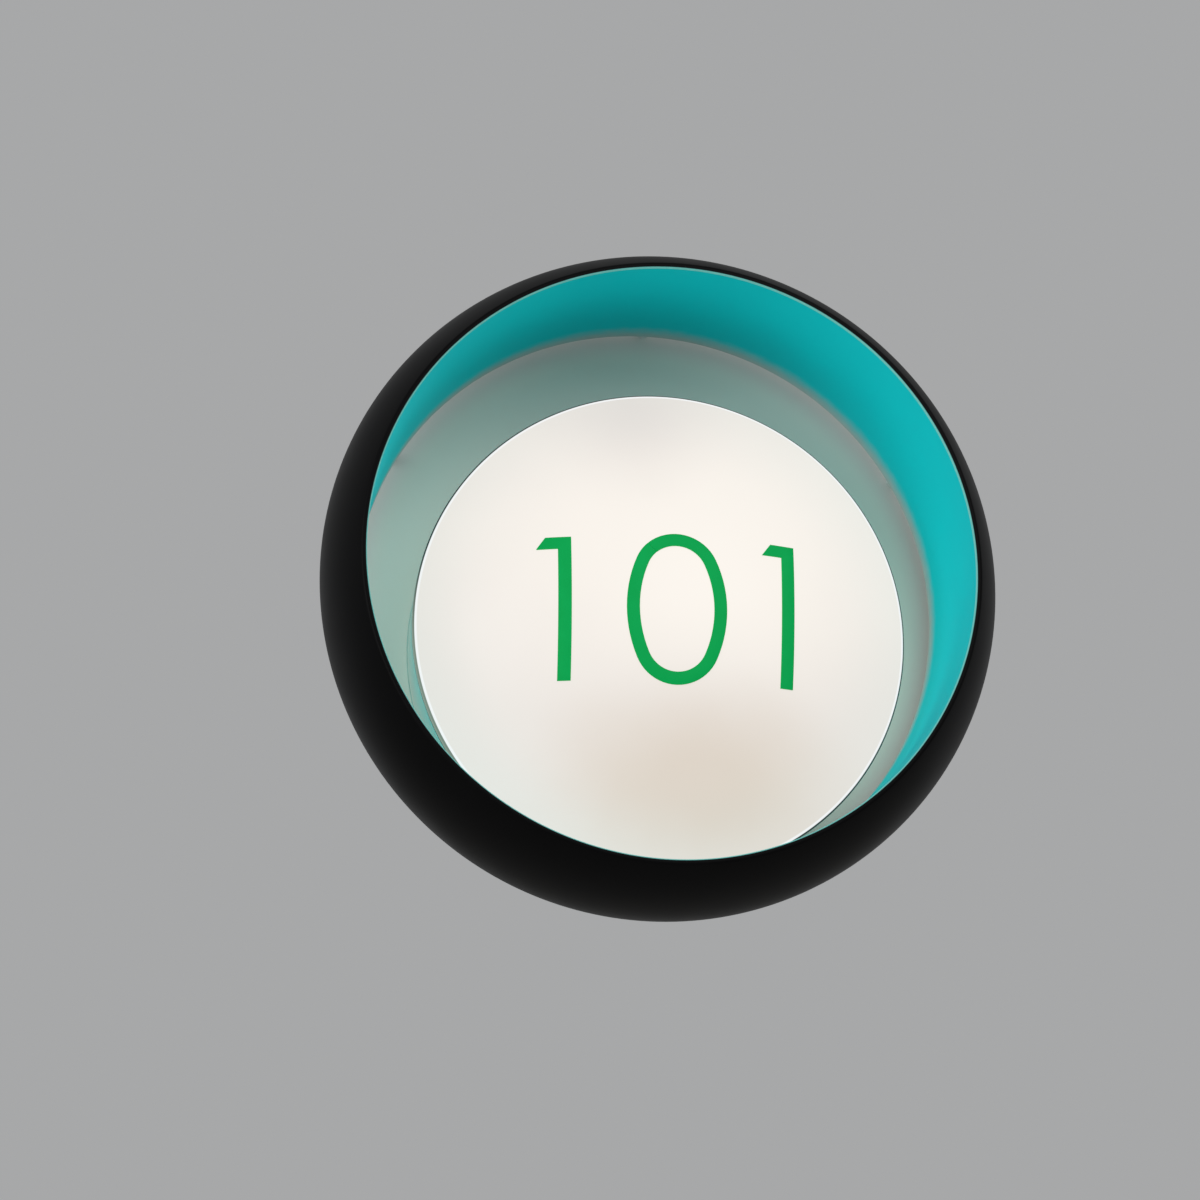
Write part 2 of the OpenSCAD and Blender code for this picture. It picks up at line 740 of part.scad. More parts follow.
// The lead of the outer pole passes outside the other one and enters the driver above it.
module mains_leads() {
  color("#3a5fa8") hang() at_lens() for (i = [0, 1]) {
    x = terminal_x + pole_x(i);
    y = driver_y + (1 - 2 * i) * driver_lead_y;
    out_x = -driver_face_x - lead_swing + 2.3 * lead_d * i;
    lead([
      [x, terminal_face_y - lead_in, terminal_out_z],
      [x, terminal_face_y + lead_out, terminal_out_z],
      [x, terminal_face_y + lead_straight, terminal_out_z],
      [between(x, out_x, 0.6), between(terminal_face_y, driver_y, 0.27), terminal_out_z + lead_d],
      [out_x, between(terminal_face_y, driver_y, 0.53), driver_out_z],
      [out_x, between(terminal_face_y, driver_y, 0.8), driver_out_z],
      [out_x + 2, y - 5, driver_out_z],
      [-driver_face_x - lead_straight, y, driver_out_z],
      [-driver_face_x - lead_out, y, driver_out_z],
      [-driver_face_x + lead_in, y, driver_out_z]
    ]);
  }
}

module earth_lead() {
  tag_z = floor_z + 1 + earth_hex_h + earth_tag_t + lead_d / 2;
  color("#6c9a3a") hang() at_lens() lead([
    [terminal_x + pole_x(2), terminal_face_y - lead_in, terminal_out_z],
    [terminal_x + pole_x(2), terminal_face_y + lead_out, terminal_out_z],
    [terminal_x + pole_x(2), terminal_face_y + 3, terminal_out_z],
    [terminal_x + pole_x(2) + 8, terminal_face_y + 2, terminal_out_z],
    [terminal_x + pole_x(2) + 22, earth_y + 12, tag_z],
    [earth_x - 24, earth_y + 2, tag_z],
    [earth_x - 6, earth_y, tag_z]
  ]);
}

// The LED leads end in the connector, at its radius and turned with it.
module at_connector() {
  rotate(connector_angle) translate([board_screw_r, 0, chip_z]) children();
}

// A point given by its place on a circle: how far out, how far along it and how high.
function turned(angle, out, along, z) =
  [out * cos(angle) - along * sin(angle), out * sin(angle) + along * cos(angle), z];

module led_leads() {
  end_z = chip_z + connector_h / 2;
  face = connector_l / 2;
  color("#b03030") hang() at_lens() for (lane = [-1, 1]) {
    y = driver_y + lane * driver_lead_y;
    out_x = driver_face_x + lead_swing + 2 * lane * lead_d;
    hole_r = board_screw_r + 0.6 * lane * lead_d;
    end_r = board_screw_r + lane * connector_w / 4;
    hole_y = hole_r * sin(wire_hole_angle);
    lead([
      [driver_face_x - lead_in, y, driver_out_z],
      [driver_face_x + lead_out, y, driver_out_z],
      [driver_face_x + lead_straight, y, driver_out_z],
      [out_x, between(y, hole_y, 0.2), driver_out_z - 1],
      [out_x, between(y, hole_y, 0.55), driver_out_z - 2],
      turned(wire_hole_angle, hole_r, 8, driver_out_z),
      turned(wire_hole_angle, hole_r, 0, tray_z - 3),
      turned(wire_hole_angle, hole_r, 0, chip_z + 0.5),
      turned(connector_angle, end_r, face + lead_straight, end_z),
      turned(connector_angle, end_r, face + lead_out, end_z),
      turned(connector_angle, end_r, face - lead_in, end_z)
    ]);
  }
}

module tray_pillars() {
  color("silver") hang() at_lens() around(4, pillar_r) difference() {
    hex(pillar_af, floor_z, tray_z);
    translate([0, 0, tray_z - pillar_bore])
      cylinder(r = m3_r + thread_gap, h = pillar_bore + over, $fn = small);
  }
}

module wire_hole(low, high) {
  rotate(wire_hole_angle) translate([board_screw_r, 0, 0]) bore(wire_hole_r, low, high);
}

module led_tray() {
  color("#c8ccd0") hang() at_lens() difference() {
    translate([0, 0, tray_z]) cylinder(d = tray_d, h = tray_t, $fn = fine);
    around(4, pillar_r) bore(m3_r + screw_gap, tray_z, board_z);
    around(board_screw_count, board_screw_r, board_screw_start) bore(m3_r + thread_gap, tray_z, board_z);
    wire_hole(tray_z, board_z);
  }
}

module tray_screws() {
  color("silver") hang() at_lens() around(4, pillar_r)
    screw(m3_r, m3_head_r, m3_head_h, board_z + reflector_t, tray_z - m3_bite);
}

module led_board() {
  color("#f4f5f2") hang() at_lens() difference() {
    translate([0, 0, board_z]) cylinder(r = board_r, h = board_t, $fn = fine);
    bore(board_bore_r, board_z, chip_z);
    around(board_screw_count, board_screw_r, board_screw_start) bore(m3_r + screw_gap, board_z, chip_z);
    wire_hole(board_z, chip_z);
  }
}

module led_chips() {
  color("#f3d66a") hang() at_lens() for (ring = chip_rings) around(ring[1], ring[0] * board_r)
    translate([-chip_w / 2, -0.4 * chip_w, chip_z]) cube([chip_w, 0.8 * chip_w, chip_t]);
}

module board_screws() {
  color("silver") hang() at_lens() around(board_screw_count, board_screw_r, board_screw_start)
    screw(m3_r, m3_head_r, m3_head_h, chip_z, tray_z);
}

module board_connector() {
  color("#e8e8e4") hang() at_lens() at_connector() difference() {
    translate([-connector_w / 2, -connector_l / 2, 0]) cube([connector_w, connector_l, connector_h]);
    for (lane = [-1, 1]) translate([lane * connector_w / 4, 0, connector_h / 2]) rotate([90, 0, 0])
      cylinder(d = lead_d + 2 * thread_gap, h = connector_l + 2 * over, center = true, $fn = small);
  }
}

module reflector() {
  rim_z = seat_z;
  color("#fafafa") hang() at_lens() difference() {
    rotate_extrude($fn = fine) polygon([
      [reflector_in_r, board_z],
      [reflector_foot_r + reflector_t, board_z],
      [reflector_rim_r, rim_z],
      [reflector_rim_r, rim_z + reflector_t],
      [reflector_rim_r - 2 * reflector_t, rim_z + reflector_t],
      [reflector_foot_r - reflector_t / 2, board_z + reflector_t],
      [reflector_in_r, board_z + reflector_t]
    ]);
    around(4, pillar_r) bore(m3_r + screw_gap, board_z, board_z + reflector_t);
  }
}

// Height of the spring rivets.
function spring_rivet_z() = seat_z - window_drop - spring_foot_h / 2;

// Side profile of one spring: a flat foot, a bulge through the window and a lead-in at the tip.
module spring_profile() {
  foot_top = seat_z - window_drop;
  bulge_z = lens_foot_z + spigot_h / 3;
  tip_z = spigot_top - 0.5;
  polygon([
    [spring_foot_r, foot_top - spring_foot_h],
    [spring_foot_r, foot_top],
    [spring_reach, bulge_z],
    [spring_reach - spring_t, tip_z],
    [spring_reach - 2.2 * spring_t, tip_z],
    [spring_reach - 1.3 * spring_t, bulge_z],
    [spring_foot_r - spring_t, foot_top + spring_t],
    [spring_foot_r - spring_t, foot_top - spring_foot_h]
  ]);
}

module lens_springs() {
  color("#d8d8d8") hang() at_lens() around(spring_count, 0, spring_start) difference() {
    rotate([90, 0, 0]) linear_extrude(spring_w, center = true) spring_profile();
    translate([spring_foot_r - 2 * spring_t, 0, spring_rivet_z()]) rotate([0, 90, 0])
      cylinder(r = rivet_r + thread_gap, h = 4 * spring_t, $fn = small);
  }
}

module spring_rivets() {
  inner_face = spring_foot_r - spring_t;
  color("silver") hang() at_lens() around(spring_count, 0, spring_start)
    translate([inner_face, 0, spring_rivet_z()]) rotate([0, 90, 0]) {
      translate([0, 0, -rivet_head_t])
        cylinder(r1 = 0.7 * rivet_head_r, r2 = rivet_head_r, h = rivet_head_t, $fn = small);
      cylinder(r = rivet_r, h = cavity_r + rivet_depth - inner_face, $fn = small);
    }
}

module lens_gasket() {
  color("#2a2a2a") hang() at_lens() tube(lens_r - lay_gap, spigot_r + lay_gap, seat_z, lens_foot_z, fine);
}

// Ball of the dome, thinner or thicker by an offset.
module dome_ball(offset_r) {
  translate([0, 0, dome_z]) sphere(r = dome_r + offset_r, $fn = fine);
}

module lens() {
  color([0.98, 0.96, 0.92, 0.9]) hang() at_lens() difference() {
    union() {
      intersection() {
        dome_ball(0);
        translate([0, 0, lens_base_z]) cylinder(r = lens_r, h = lens_crown + over, $fn = fine);
      }
      translate([0, 0, lens_foot_z]) cylinder(r = lens_r, h = lens_skirt, $fn = fine);
    }
    intersection() {
      dome_ball(-lens_wall);
      translate([0, 0, lens_base_z - over]) cylinder(r = skirt_r, h = lens_crown + over, $fn = fine);
    }
    translate([0, 0, lens_foot_z - over]) cylinder(r = skirt_r, h = lens_skirt + over, $fn = fine);
  }
}

// A figure is its outline cut out of a thin shell that lies on the dome.
module on_dome() {
  hang() at_lens() intersection() {
    difference() {
      dome_ball(film_t + digit_t);
      dome_ball(film_t);
    }
    translate([figures_right, -figures_down, 0]) linear_extrude(front_z + over) children();
  }
}

// The figure 1: a stem with a flag cut off at a slant.
module one_outline() {
  flag_top = 0.94 * digit_stroke;
  flag_tip = 1.62 * digit_stroke;
  left = -digit_stroke / 2;
  right = digit_stroke / 2;
  top = digit_h / 2;
  polygon([
    [left, -top],
    [right, -top],
    [right, top],
    [left - flag_top, top],
    [left - flag_tip, top - 0.95 * digit_stroke],
    [left, top - 0.95 * digit_stroke]
  ]);
}

// An oval of four arcs: two wide sides and two narrow ends, all pulled in by inset.
module oval(inset) {
  half_w = zero_w / 2;
  side_r = (end_y * end_y + half_w * half_w - end_r * end_r) / (2 * (half_w - end_r));
  side_x = side_r - half_w;
  // A side arc and an end arc meet on the line through their centres.
  meet_y = end_y * (side_r - inset) / norm([side_x, end_y]);
  for (end = [-1, 1]) translate([0, end * end_y]) circle(r = end_r - inset, $fn = fine);
  intersection() {
    translate([side_x, 0]) circle(r = side_r - inset, $fn = fine);
    translate([-side_x, 0]) circle(r = side_r - inset, $fn = fine);
    square([zero_w, 2 * meet_y], center = true);
  }
}

// The seam cuts square across the stroke of the upper end arc.
module zero_outline() {
  difference() {
    oval(0);
    oval(digit_stroke);
    translate([0, end_y]) rotate(seam_angle) translate([0, -zero_seam / 2]) square([digit_h, zero_seam]);
  }
}

module digit_hundreds() {
  color("#0aa24c") on_dome() translate([-pitch_left, 0]) one_outline();
}

module digit_tens() {
  color("#0aa24c") on_dome() zero_outline();
}

module digit_units() {
  color("#0aa24c") on_dome() translate([pitch_right, 0]) rotate(-lean) one_outline();
}

outer_shell();
liner();
ring_brackets();
ring_studs();
ring_spacers();
ring_nuts();
back_plate();
wall_bracket();
bracket_studs();
stud_washers();
cap_nuts();
wall_buffers();
light_housing();
housing_screws();
cable_grommet();
terminal_block();
terminal_screws();
terminal_fixings();
driver_case();
driver_screws();
earth_stud();
earth_nuts();
mains_leads();
earth_lead();
led_leads();
tray_pillars();
led_tray();
tray_screws();
led_board();
led_chips();
board_screws();
board_connector();
reflector();
lens_springs();
spring_rivets();
lens_gasket();
lens();
digit_hundreds();
digit_tens();
digit_units();
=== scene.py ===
# %% [markdown]
# # An illuminated house number sign
# A barrel-shaped ring of sheet metal, black outside and teal inside, stands a little off the wall.
# A round light hangs low inside it. Its opal dome carries three plain figures cut from green film.
# The CAD model holds the shapes, the joints and the motion. This lesson gives every surface its
# finish, and remodels the pieces whose curves and edges the eye follows most closely.

# %% Load the frame
import json
import math

import bpy
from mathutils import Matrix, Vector


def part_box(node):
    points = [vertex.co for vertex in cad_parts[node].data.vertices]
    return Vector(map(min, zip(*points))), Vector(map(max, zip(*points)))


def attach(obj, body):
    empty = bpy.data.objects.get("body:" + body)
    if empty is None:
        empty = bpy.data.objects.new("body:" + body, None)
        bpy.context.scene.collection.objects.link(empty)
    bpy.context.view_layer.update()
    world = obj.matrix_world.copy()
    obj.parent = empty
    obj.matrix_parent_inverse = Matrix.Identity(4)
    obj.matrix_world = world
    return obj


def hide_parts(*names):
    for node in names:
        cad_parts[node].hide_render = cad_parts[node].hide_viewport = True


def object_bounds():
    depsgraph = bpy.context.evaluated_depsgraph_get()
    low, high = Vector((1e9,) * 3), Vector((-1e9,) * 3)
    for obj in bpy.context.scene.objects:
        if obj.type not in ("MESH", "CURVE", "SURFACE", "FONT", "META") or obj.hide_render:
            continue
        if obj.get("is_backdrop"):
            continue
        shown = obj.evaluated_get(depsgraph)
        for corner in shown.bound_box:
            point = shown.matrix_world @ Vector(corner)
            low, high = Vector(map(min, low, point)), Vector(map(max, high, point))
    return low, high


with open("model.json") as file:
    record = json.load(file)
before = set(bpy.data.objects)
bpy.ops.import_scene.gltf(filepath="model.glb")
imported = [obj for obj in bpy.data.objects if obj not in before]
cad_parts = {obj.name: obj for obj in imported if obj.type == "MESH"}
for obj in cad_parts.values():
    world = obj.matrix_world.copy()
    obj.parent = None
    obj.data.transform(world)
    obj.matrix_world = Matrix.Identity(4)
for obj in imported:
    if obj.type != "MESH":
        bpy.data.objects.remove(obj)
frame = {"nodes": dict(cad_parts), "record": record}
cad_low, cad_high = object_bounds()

MM = 0.001


def in_mm(lengths):
    """Lengths in millimetres, to print."""
    return [round(length / MM, 1) for length in lengths]


print("CAD box in mm:", in_mm(high - low for low, high in zip(cad_low, cad_high)))

# %% [markdown]
# ## Reading the sizes
# The sign faces -Y, its wall is the plane y = 0, and the ring's axis is the Y axis. A round
# piece gives its radius and its depths by the corners of its box, so the new pieces take their
# places from the CAD pieces.

# %% Measure the frame
shell_low, shell_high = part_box("outer_shell")
liner_low, liner_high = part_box("liner")
lens_low, lens_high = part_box("lens")

ring_r = shell_high.x
front_y, shell_rear_y = shell_low.y, shell_high.y
liner_r = liner_high.x
liner_front_y, liner_rear_y = liner_low.y, liner_high.y
plate_front_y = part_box("back_plate")[0].y
housing_rim_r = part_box("light_housing")[1].x
lens_r = lens_high.x
lens_y, foot_y = lens_low.y, lens_high.y
lens_z = (lens_low.z + lens_high.z) / 2
print("radius of ring, liner and dome in mm:", in_mm((ring_r, liner_r, lens_r)))

# %% [markdown]
# ## The camera
# The sign is seen from below and a little from the left, as someone at the door sees it. A long
# lens keeps the round shapes from stretching. The view is written as two angles: they give the
# direction from the sign to the camera, and the camera looks back along it.

# %% Place the camera
azimuth = math.radians(-8.2)
elevation = math.radians(-16.25)
away = Vector((
    math.sin(azimuth) * math.cos(elevation),
    -math.cos(azimuth) * math.cos(elevation),
    math.sin(elevation),
))
camera = bpy.data.objects.new("camera", bpy.data.cameras.new("camera"))
camera.data.lens = 90
camera.data.sensor_width = 36
camera.location = (-0.2353, -1.4831, -0.4287)
camera.rotation_mode = "QUATERNION"
camera.rotation_quaternion = (-away).to_track_quat("-Z", "Y")
bpy.context.scene.collection.objects.link(camera)
bpy.context.scene.camera = camera
print("camera in mm:", in_mm(camera.location))

# %% [markdown]
# ## Nodes and colours
# Every finish is a small network of nodes. One function adds a node, sets its settings and joins
# its sockets, so a material reads as a list of steps. Another turns the hex colour of a paint
# chart into the linear values that the shader needs. A third turns a real size in millimetres
# into the scale of a pattern.

# %% Helpers for materials
def colour(code):
    """Linear RGBA from an sRGB hex code."""
    parts = [int(code[i:i + 2], 16) / 255 for i in (1, 3, 5)]
    return (*[p / 12.92 if p <= 0.04045 else ((p + 0.055) / 1.055) ** 2.4 for p in parts], 1.0)


def feed(node, inputs):
    """Sets sockets by name or number. A pair of a node and one of its outputs becomes a link."""
    for key, value in inputs.items():
        if isinstance(value, tuple) and isinstance(value[0], bpy.types.Node):
            node.id_data.links.new(value[0].outputs[value[1]], node.inputs[key])
        else:
            node.inputs[key].default_value = value


def add(tree, kind, inputs=None, **settings):
    """Adds one node with its settings and its inputs."""
    node = tree.nodes.new(kind)
    for name, value in settings.items():
        setattr(node, name, value)
    feed(node, inputs or {})
    return node


def new_finish(name):
    """An empty material with its shader, and the object's own coordinates to draw patterns by."""
    finish = bpy.data.materials.new(name)
    finish.use_nodes = True
    tree = finish.node_tree
    tree.nodes.clear()
    shader = add(tree, "ShaderNodeBsdfPrincipled")
    add(tree, "ShaderNodeOutputMaterial", {"Surface": (shader, "BSDF")})
    place = add(tree, "ShaderNodeTexCoord")
    print("finish:", name)
    return finish, tree, shader, place


def per(millimetres):
    """Scale of a texture whose grains are this many millimetres across."""
    return 1 / (millimetres * MM)

# %% [markdown]
# ## Floor and light
# A plain pale floor lies well below the sign, at the height that a visitor stands on. The light is
# a studio's: an even sky, one large soft lamp in front and a slightly smaller one on the other
# side. The black shell then shows its round form by soft reflections.

# %% Lay the floor
floor_z = -1.6
floor_width = 12
bpy.ops.object.select_all(action="DESELECT")
bpy.ops.mesh.primitive_plane_add(size=floor_width, location=(0, 0, floor_z))
floor = bpy.context.object
floor.name = "floor"
floor_paint, tree, shader, place = new_finish("floor_pale_screed")
cloud = add(tree, "ShaderNodeTexNoise", {
    "Vector": (place, "Object"), "Scale": per(400), "Detail": 4.0})
tone = add(tree, "ShaderNodeMix", {
    0: (cloud, 0), 6: colour("#D2D0CB"), 7: colour("#DBD9D5")}, data_type="RGBA")
feed(shader, {"Base Color": (tone, 2), "Roughness": 0.7})
floor.data.materials.append(floor_paint)
floor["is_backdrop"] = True

# %% Light the studio
world = bpy.data.worlds.new("studio")
world.use_nodes = True
feed(world.node_tree.nodes["Background"], {"Color": colour("#E8E9EA"), "Strength": 0.48})
bpy.context.scene.world = world
bpy.context.scene.view_settings.view_transform = "Standard"


def softbox(name, position, size, watts):
    """A square soft lamp aimed at the sign."""
    lamp = bpy.data.lights.new(name, "AREA")
    lamp.shape = "SQUARE"
    lamp.size = size
    lamp.energy = watts
    stand = bpy.data.objects.new(name, lamp)
    stand.location = position
    stand.rotation_mode = "QUATERNION"
    stand.rotation_quaternion = (-Vector(position)).to_track_quat("-Z", "Y")
    stand.visible_camera = False
    bpy.context.scene.collection.objects.link(stand)
    print("lamp:", name, watts, "W")


softbox("key_light", position=(0.9, -2.4, 1.2), size=1.6, watts=16)
softbox("fill_light", position=(-1.8, -1.6, 0.2), size=1.4, watts=15)

# %% [markdown]
# ## Painted sheet metal
# The ring and the back plate are sheet metal, and the light housing is a casting. All have a
# baked powder coat. The powder melts into a smooth skin with a faint orange peel, a millimetre or
# two from bump to bump. Slow changes of gloss and a little paler dust keep the surface from
# looking like plain plastic.

# %% The powder coat
def powder_coat(name, main, dusty, roughness, peel=1.4, dust=0.25):
    """A baked powder coat: orange peel in the surface, and dust that settles in soft patches."""
    finish, tree, shader, place = new_finish(name)
    patches = add(tree, "ShaderNodeTexNoise", {
        "Vector": (place, "Object"), "Scale": per(45), "Detail": 5.0, "Roughness": 0.6})
    amount = add(tree, "ShaderNodeMapRange", {
        "Value": (patches, 0), "From Min": 0.45, "From Max": 0.8, "To Max": dust})
    coat = add(tree, "ShaderNodeMix", {
        0: (amount, 0), 6: colour(main), 7: colour(dusty)}, data_type="RGBA")
    gloss = add(tree, "ShaderNodeMapRange", {
        "Value": (patches, 0), "To Min": roughness - 0.05, "To Max": roughness + 0.08})
    bumps = add(tree, "ShaderNodeTexNoise", {
        "Vector": (place, "Object"), "Scale": per(peel), "Detail": 2.0})
    bump = add(tree, "ShaderNodeBump", {
        "Height": (bumps, 0), "Strength": 0.12, "Distance": 0.1 * MM})
    feed(shader, {
        "Base Color": (coat, 2), "Roughness": (gloss, 0), "Normal": (bump, 0), "IOR": 1.5})
    return finish, tree, shader, place, coat


def distance_from_axis(tree, place, axis_z):
    """How far a point lies from a line along Y, as the length of its place without the depth."""
    moved = add(tree, "ShaderNodeMapping", {
        "Vector": (place, "Object"), "Location": (0, 0, -axis_z), "Scale": (1, 0, 1)})
    return add(tree, "ShaderNodeVectorMath", {0: (moved, 0)}, operation="LENGTH")


# %% Black shell
# Satin black. A pale teal ring half a millimetre wide on the lip's inner corner is a painted
# highlight, where that corner catches the dome's light.
highlight_r = liner_r - 1 * MM
highlight_blur = 0.15 * MM
shell_black, tree, shader, place, coat = powder_coat(
    "black_powder_coat", "#040405", "#0E0E10", 0.45)
out = distance_from_axis(tree, place, 0)
# Painted highlight: a pale teal ring on the lip's inner corner.
lip_highlight_edge = add(tree, "ShaderNodeMapRange", {
    "Value": (out, "Value"), "From Min": highlight_r + highlight_blur, "From Max": highlight_r - highlight_blur})
lip_painted_highlight = add(tree, "ShaderNodeMix", {
    0: (lip_highlight_edge, 0), 6: (coat, 2), 7: colour("#7FD6D0")}, data_type="RGBA")
feed(shader, {"Base Color": (lip_painted_highlight, 2), "Specular IOR Level": 0.08})

# %% Teal liner
# Towards the rear edge the teal turns grey, in a soft and slightly wavy line.
# The grey is painted shade, where the gap behind that edge lies in shadow.
fade = 14 * MM
waviness = 5 * MM
liner_teal, tree, shader, place, coat = powder_coat(
    "teal_powder_coat", "#00CAD4", "#02D1D9", 0.55, dust=0.6)
depth = add(tree, "ShaderNodeSeparateXYZ", {0: (place, "Object")})
ripple = add(tree, "ShaderNodeTexNoise", {
    "Vector": (place, "Object"), "Scale": per(6), "Detail": 3.0})
wavy = add(tree, "ShaderNodeMath", {
    0: (ripple, 0), 1: waviness, 2: (depth, "Y")}, operation="MULTIPLY_ADD")
# Painted shade: the teal turns grey over the last centimetres before the rear edge.
rear_shade = add(tree, "ShaderNodeMapRange", {
    "Value": (wavy, 0), "From Min": liner_rear_y - fade, "From Max": liner_rear_y + waviness},
    interpolation_type="SMOOTHSTEP")
teal_and_painted_shade = add(tree, "ShaderNodeMix", {
    0: (rear_shade, 0), 6: (coat, 2), 7: colour("#ADBCBB")}, data_type="RGBA")
feed(shader, {"Base Color": (teal_and_painted_shade, 2), "Specular IOR Level": 0.04})

# %% Grey back plate
# Matt pale grey. Towards the edge, next to the liner's rear edge, it turns a duller grey: painted
# shade in that corner.
shade_from = 138 * MM
shade_to = 150 * MM
plate_grey, tree, shader, place, coat = powder_coat("grey_powder_coat", "#D3DFD7", "#D8E3DC", 0.6)
out = distance_from_axis(tree, place, 0)
# Painted shade: a duller grey near the plate's edge, in the corner by the liner.
corner_shade = add(tree, "ShaderNodeMapRange", {
    "Value": (out, "Value"), "From Min": shade_from, "From Max": shade_to},
    interpolation_type="SMOOTHSTEP")
shaded = add(tree, "ShaderNodeMix", {
    0: (corner_shade, 0), 6: (coat, 2), 7: colour("#CCD5D2")}, data_type="RGBA")
feed(shader, {"Base Color": (shaded, 2)})

# %% White housing and reflector
# The housing has the same satin coat in white. The reflector's is matt and finer,
# so it scatters the light.
housing_white = powder_coat("white_powder_coat", "#D6DCD5", "#CCD2CB", 0.5)[0]
reflector_white = powder_coat("matt_white_reflector_coat", "#F2F2EE", "#ECECE6", 0.75, peel=0.6)[0]

# %% [markdown]
# ## Bare and plated metal
# Zinc plating leaves a bright, faintly blue skin. Hot-dip galvanising grows flat crystals a
# few millimetres wide, the spangle. Brushed aluminium has fine parallel lines, and turned
# tube has rings. Each of these is a metal, so the difference lies in its colour, its
# roughness and its pattern.

# %% Plain and plated metals
# Real brush lines and turning marks are a tenth of a millimetre wide. They are drawn
# coarser, or none would show.
mark_width = 0.8


def plated(name, main, tarnish, roughness, grain=8, streak=(1, 1, 1), scratches=0.06):
    """A metal with soft tarnish and fine marks. streak squeezes the marks into lines."""
    finish, tree, shader, place = new_finish(name)
    tarnish_noise = add(tree, "ShaderNodeTexNoise", {
        "Vector": (place, "Object"), "Scale": per(grain), "Detail": 4.0})
    tone = add(tree, "ShaderNodeMix", {
        0: (tarnish_noise, 0), 6: colour(main), 7: colour(tarnish)}, data_type="RGBA")
    stretched = add(tree, "ShaderNodeMapping", {"Vector": (place, "Object"), "Scale": streak})
    marks = add(tree, "ShaderNodeTexNoise", {
        "Vector": (stretched, 0), "Scale": per(mark_width), "Detail": 3.0})
    gloss = add(tree, "ShaderNodeMapRange", {
        "Value": (marks, 0), "To Min": roughness - 0.08, "To Max": roughness + 0.12})
    bump = add(tree, "ShaderNodeBump", {
        "Height": (marks, 0), "Strength": scratches, "Distance": 0.1 * MM})
    feed(shader, {
        "Base Color": (tone, 2), "Metallic": 1.0, "Roughness": (gloss, 0), "Normal": (bump, 0)})
    return finish, tree, shader, place


zinc = plated("bright_zinc_plate", "#C9CED2", "#B5BCC6", 0.3)[0]
nickel = plated("polished_nickel_plate", "#CFCABF", "#BDB7AA", 0.16, scratches=0.03)[0]
spring = plated("tempered_spring_steel", "#A9A8A6", "#8B8A8C", 0.28, streak=(1, 6, 1))[0]
tube = plated("turned_aluminium", "#EEF0F1", "#E4E6E8", 0.62, streak=(0.1, 8, 0.1))[0]
tray = plated(
    "brushed_aluminium", "#C3C6C9", "#B6BABE", 0.36, streak=(0.06, 1, 6), scratches=0.12)[0]
brass = plated("turned_brass", "#C6A058", "#A9823F", 0.3, grain=5)[0]

# %% Galvanised strap
# The spangle's crystals differ only a little in tone, but much in how they catch the light.
spangle_width = 4.5
galvanised, tree, shader, place = plated("hot_dip_galvanised", "#A8ADB0", "#949A9E", 0.42)
spangle = add(tree, "ShaderNodeTexVoronoi", {
    "Vector": (place, "Object"), "Scale": per(spangle_width)})
crystal = add(tree, "ShaderNodeSeparateColor", {0: (spangle, "Color")})
crystal_tone = add(tree, "ShaderNodeMix", {
    0: (crystal, 0), 6: colour("#9AA0A4"), 7: colour("#AFB4B8")}, data_type="RGBA")
crystal_gloss = add(tree, "ShaderNodeMapRange", {
    "Value": (crystal, 1), "To Min": 0.3, "To Max": 0.55})
feed(shader, {"Base Color": (crystal_tone, 2), "Roughness": (crystal_gloss, 0)})

# %% [markdown]
# ## Rubber and plastic
# Rubber is matt, with a bloom of pale powder. Moulded plastic carries the spark-eroded grain of its
# mould, and unfilled nylon lets a little light in. Cable insulation is soft PVC with a low sheen.

# %% Moulded surfaces
# The real grain is a tenth of a millimetre or two. It is drawn a few times
# coarser, so that it shows.
def moulded(name, main, shade, roughness, grain=0.5, depth=0.05, glow_depth=0.0):
    """Moulded plastic or rubber: a fine even grain and a slow change of tone."""
    finish, tree, shader, place = new_finish(name)
    cloud = add(tree, "ShaderNodeTexNoise", {
        "Vector": (place, "Object"), "Scale": per(14), "Detail": 4.0})
    tone = add(tree, "ShaderNodeMix", {
        0: (cloud, 0), 6: colour(main), 7: colour(shade)}, data_type="RGBA")
    pits = add(tree, "ShaderNodeTexNoise", {
        "Vector": (place, "Object"), "Scale": per(grain), "Detail": 2.0})
    bump = add(tree, "ShaderNodeBump", {
        "Height": (pits, 0), "Strength": 0.3, "Distance": depth * MM})
    gloss = add(tree, "ShaderNodeMapRange", {
        "Value": (cloud, 0), "To Min": roughness - 0.06, "To Max": roughness + 0.06})
    feed(shader, {"Base Color": (tone, 2), "Roughness": (gloss, 0), "Normal": (bump, 0)})
    if glow_depth:
        feed(shader, {"Subsurface Weight": 0.3, "Subsurface Scale": glow_depth * MM})
    return finish


buffer_rubber = moulded("moulded_epdm_rubber", "#1B1B1C", "#2A2A2B", 0.78, grain=0.8)
seal_rubber = moulded("sponge_epdm_seal", "#202021", "#303031", 0.88, grain=0.6, depth=0.12)
terminal_nylon = moulded("natural_nylon", "#E6DEC8", "#D9D0B6", 0.42, glow_depth=1.5)
driver_shell = moulded("white_polycarbonate", "#E6E7E4", "#D8DAD6", 0.4)
pvc_blue = moulded("blue_pvc_insulation", "#2C57A6", "#244B94", 0.46, grain=1.2)
pvc_red = moulded("red_pvc_insulation", "#A82A2A", "#942222", 0.46, grain=1.2)

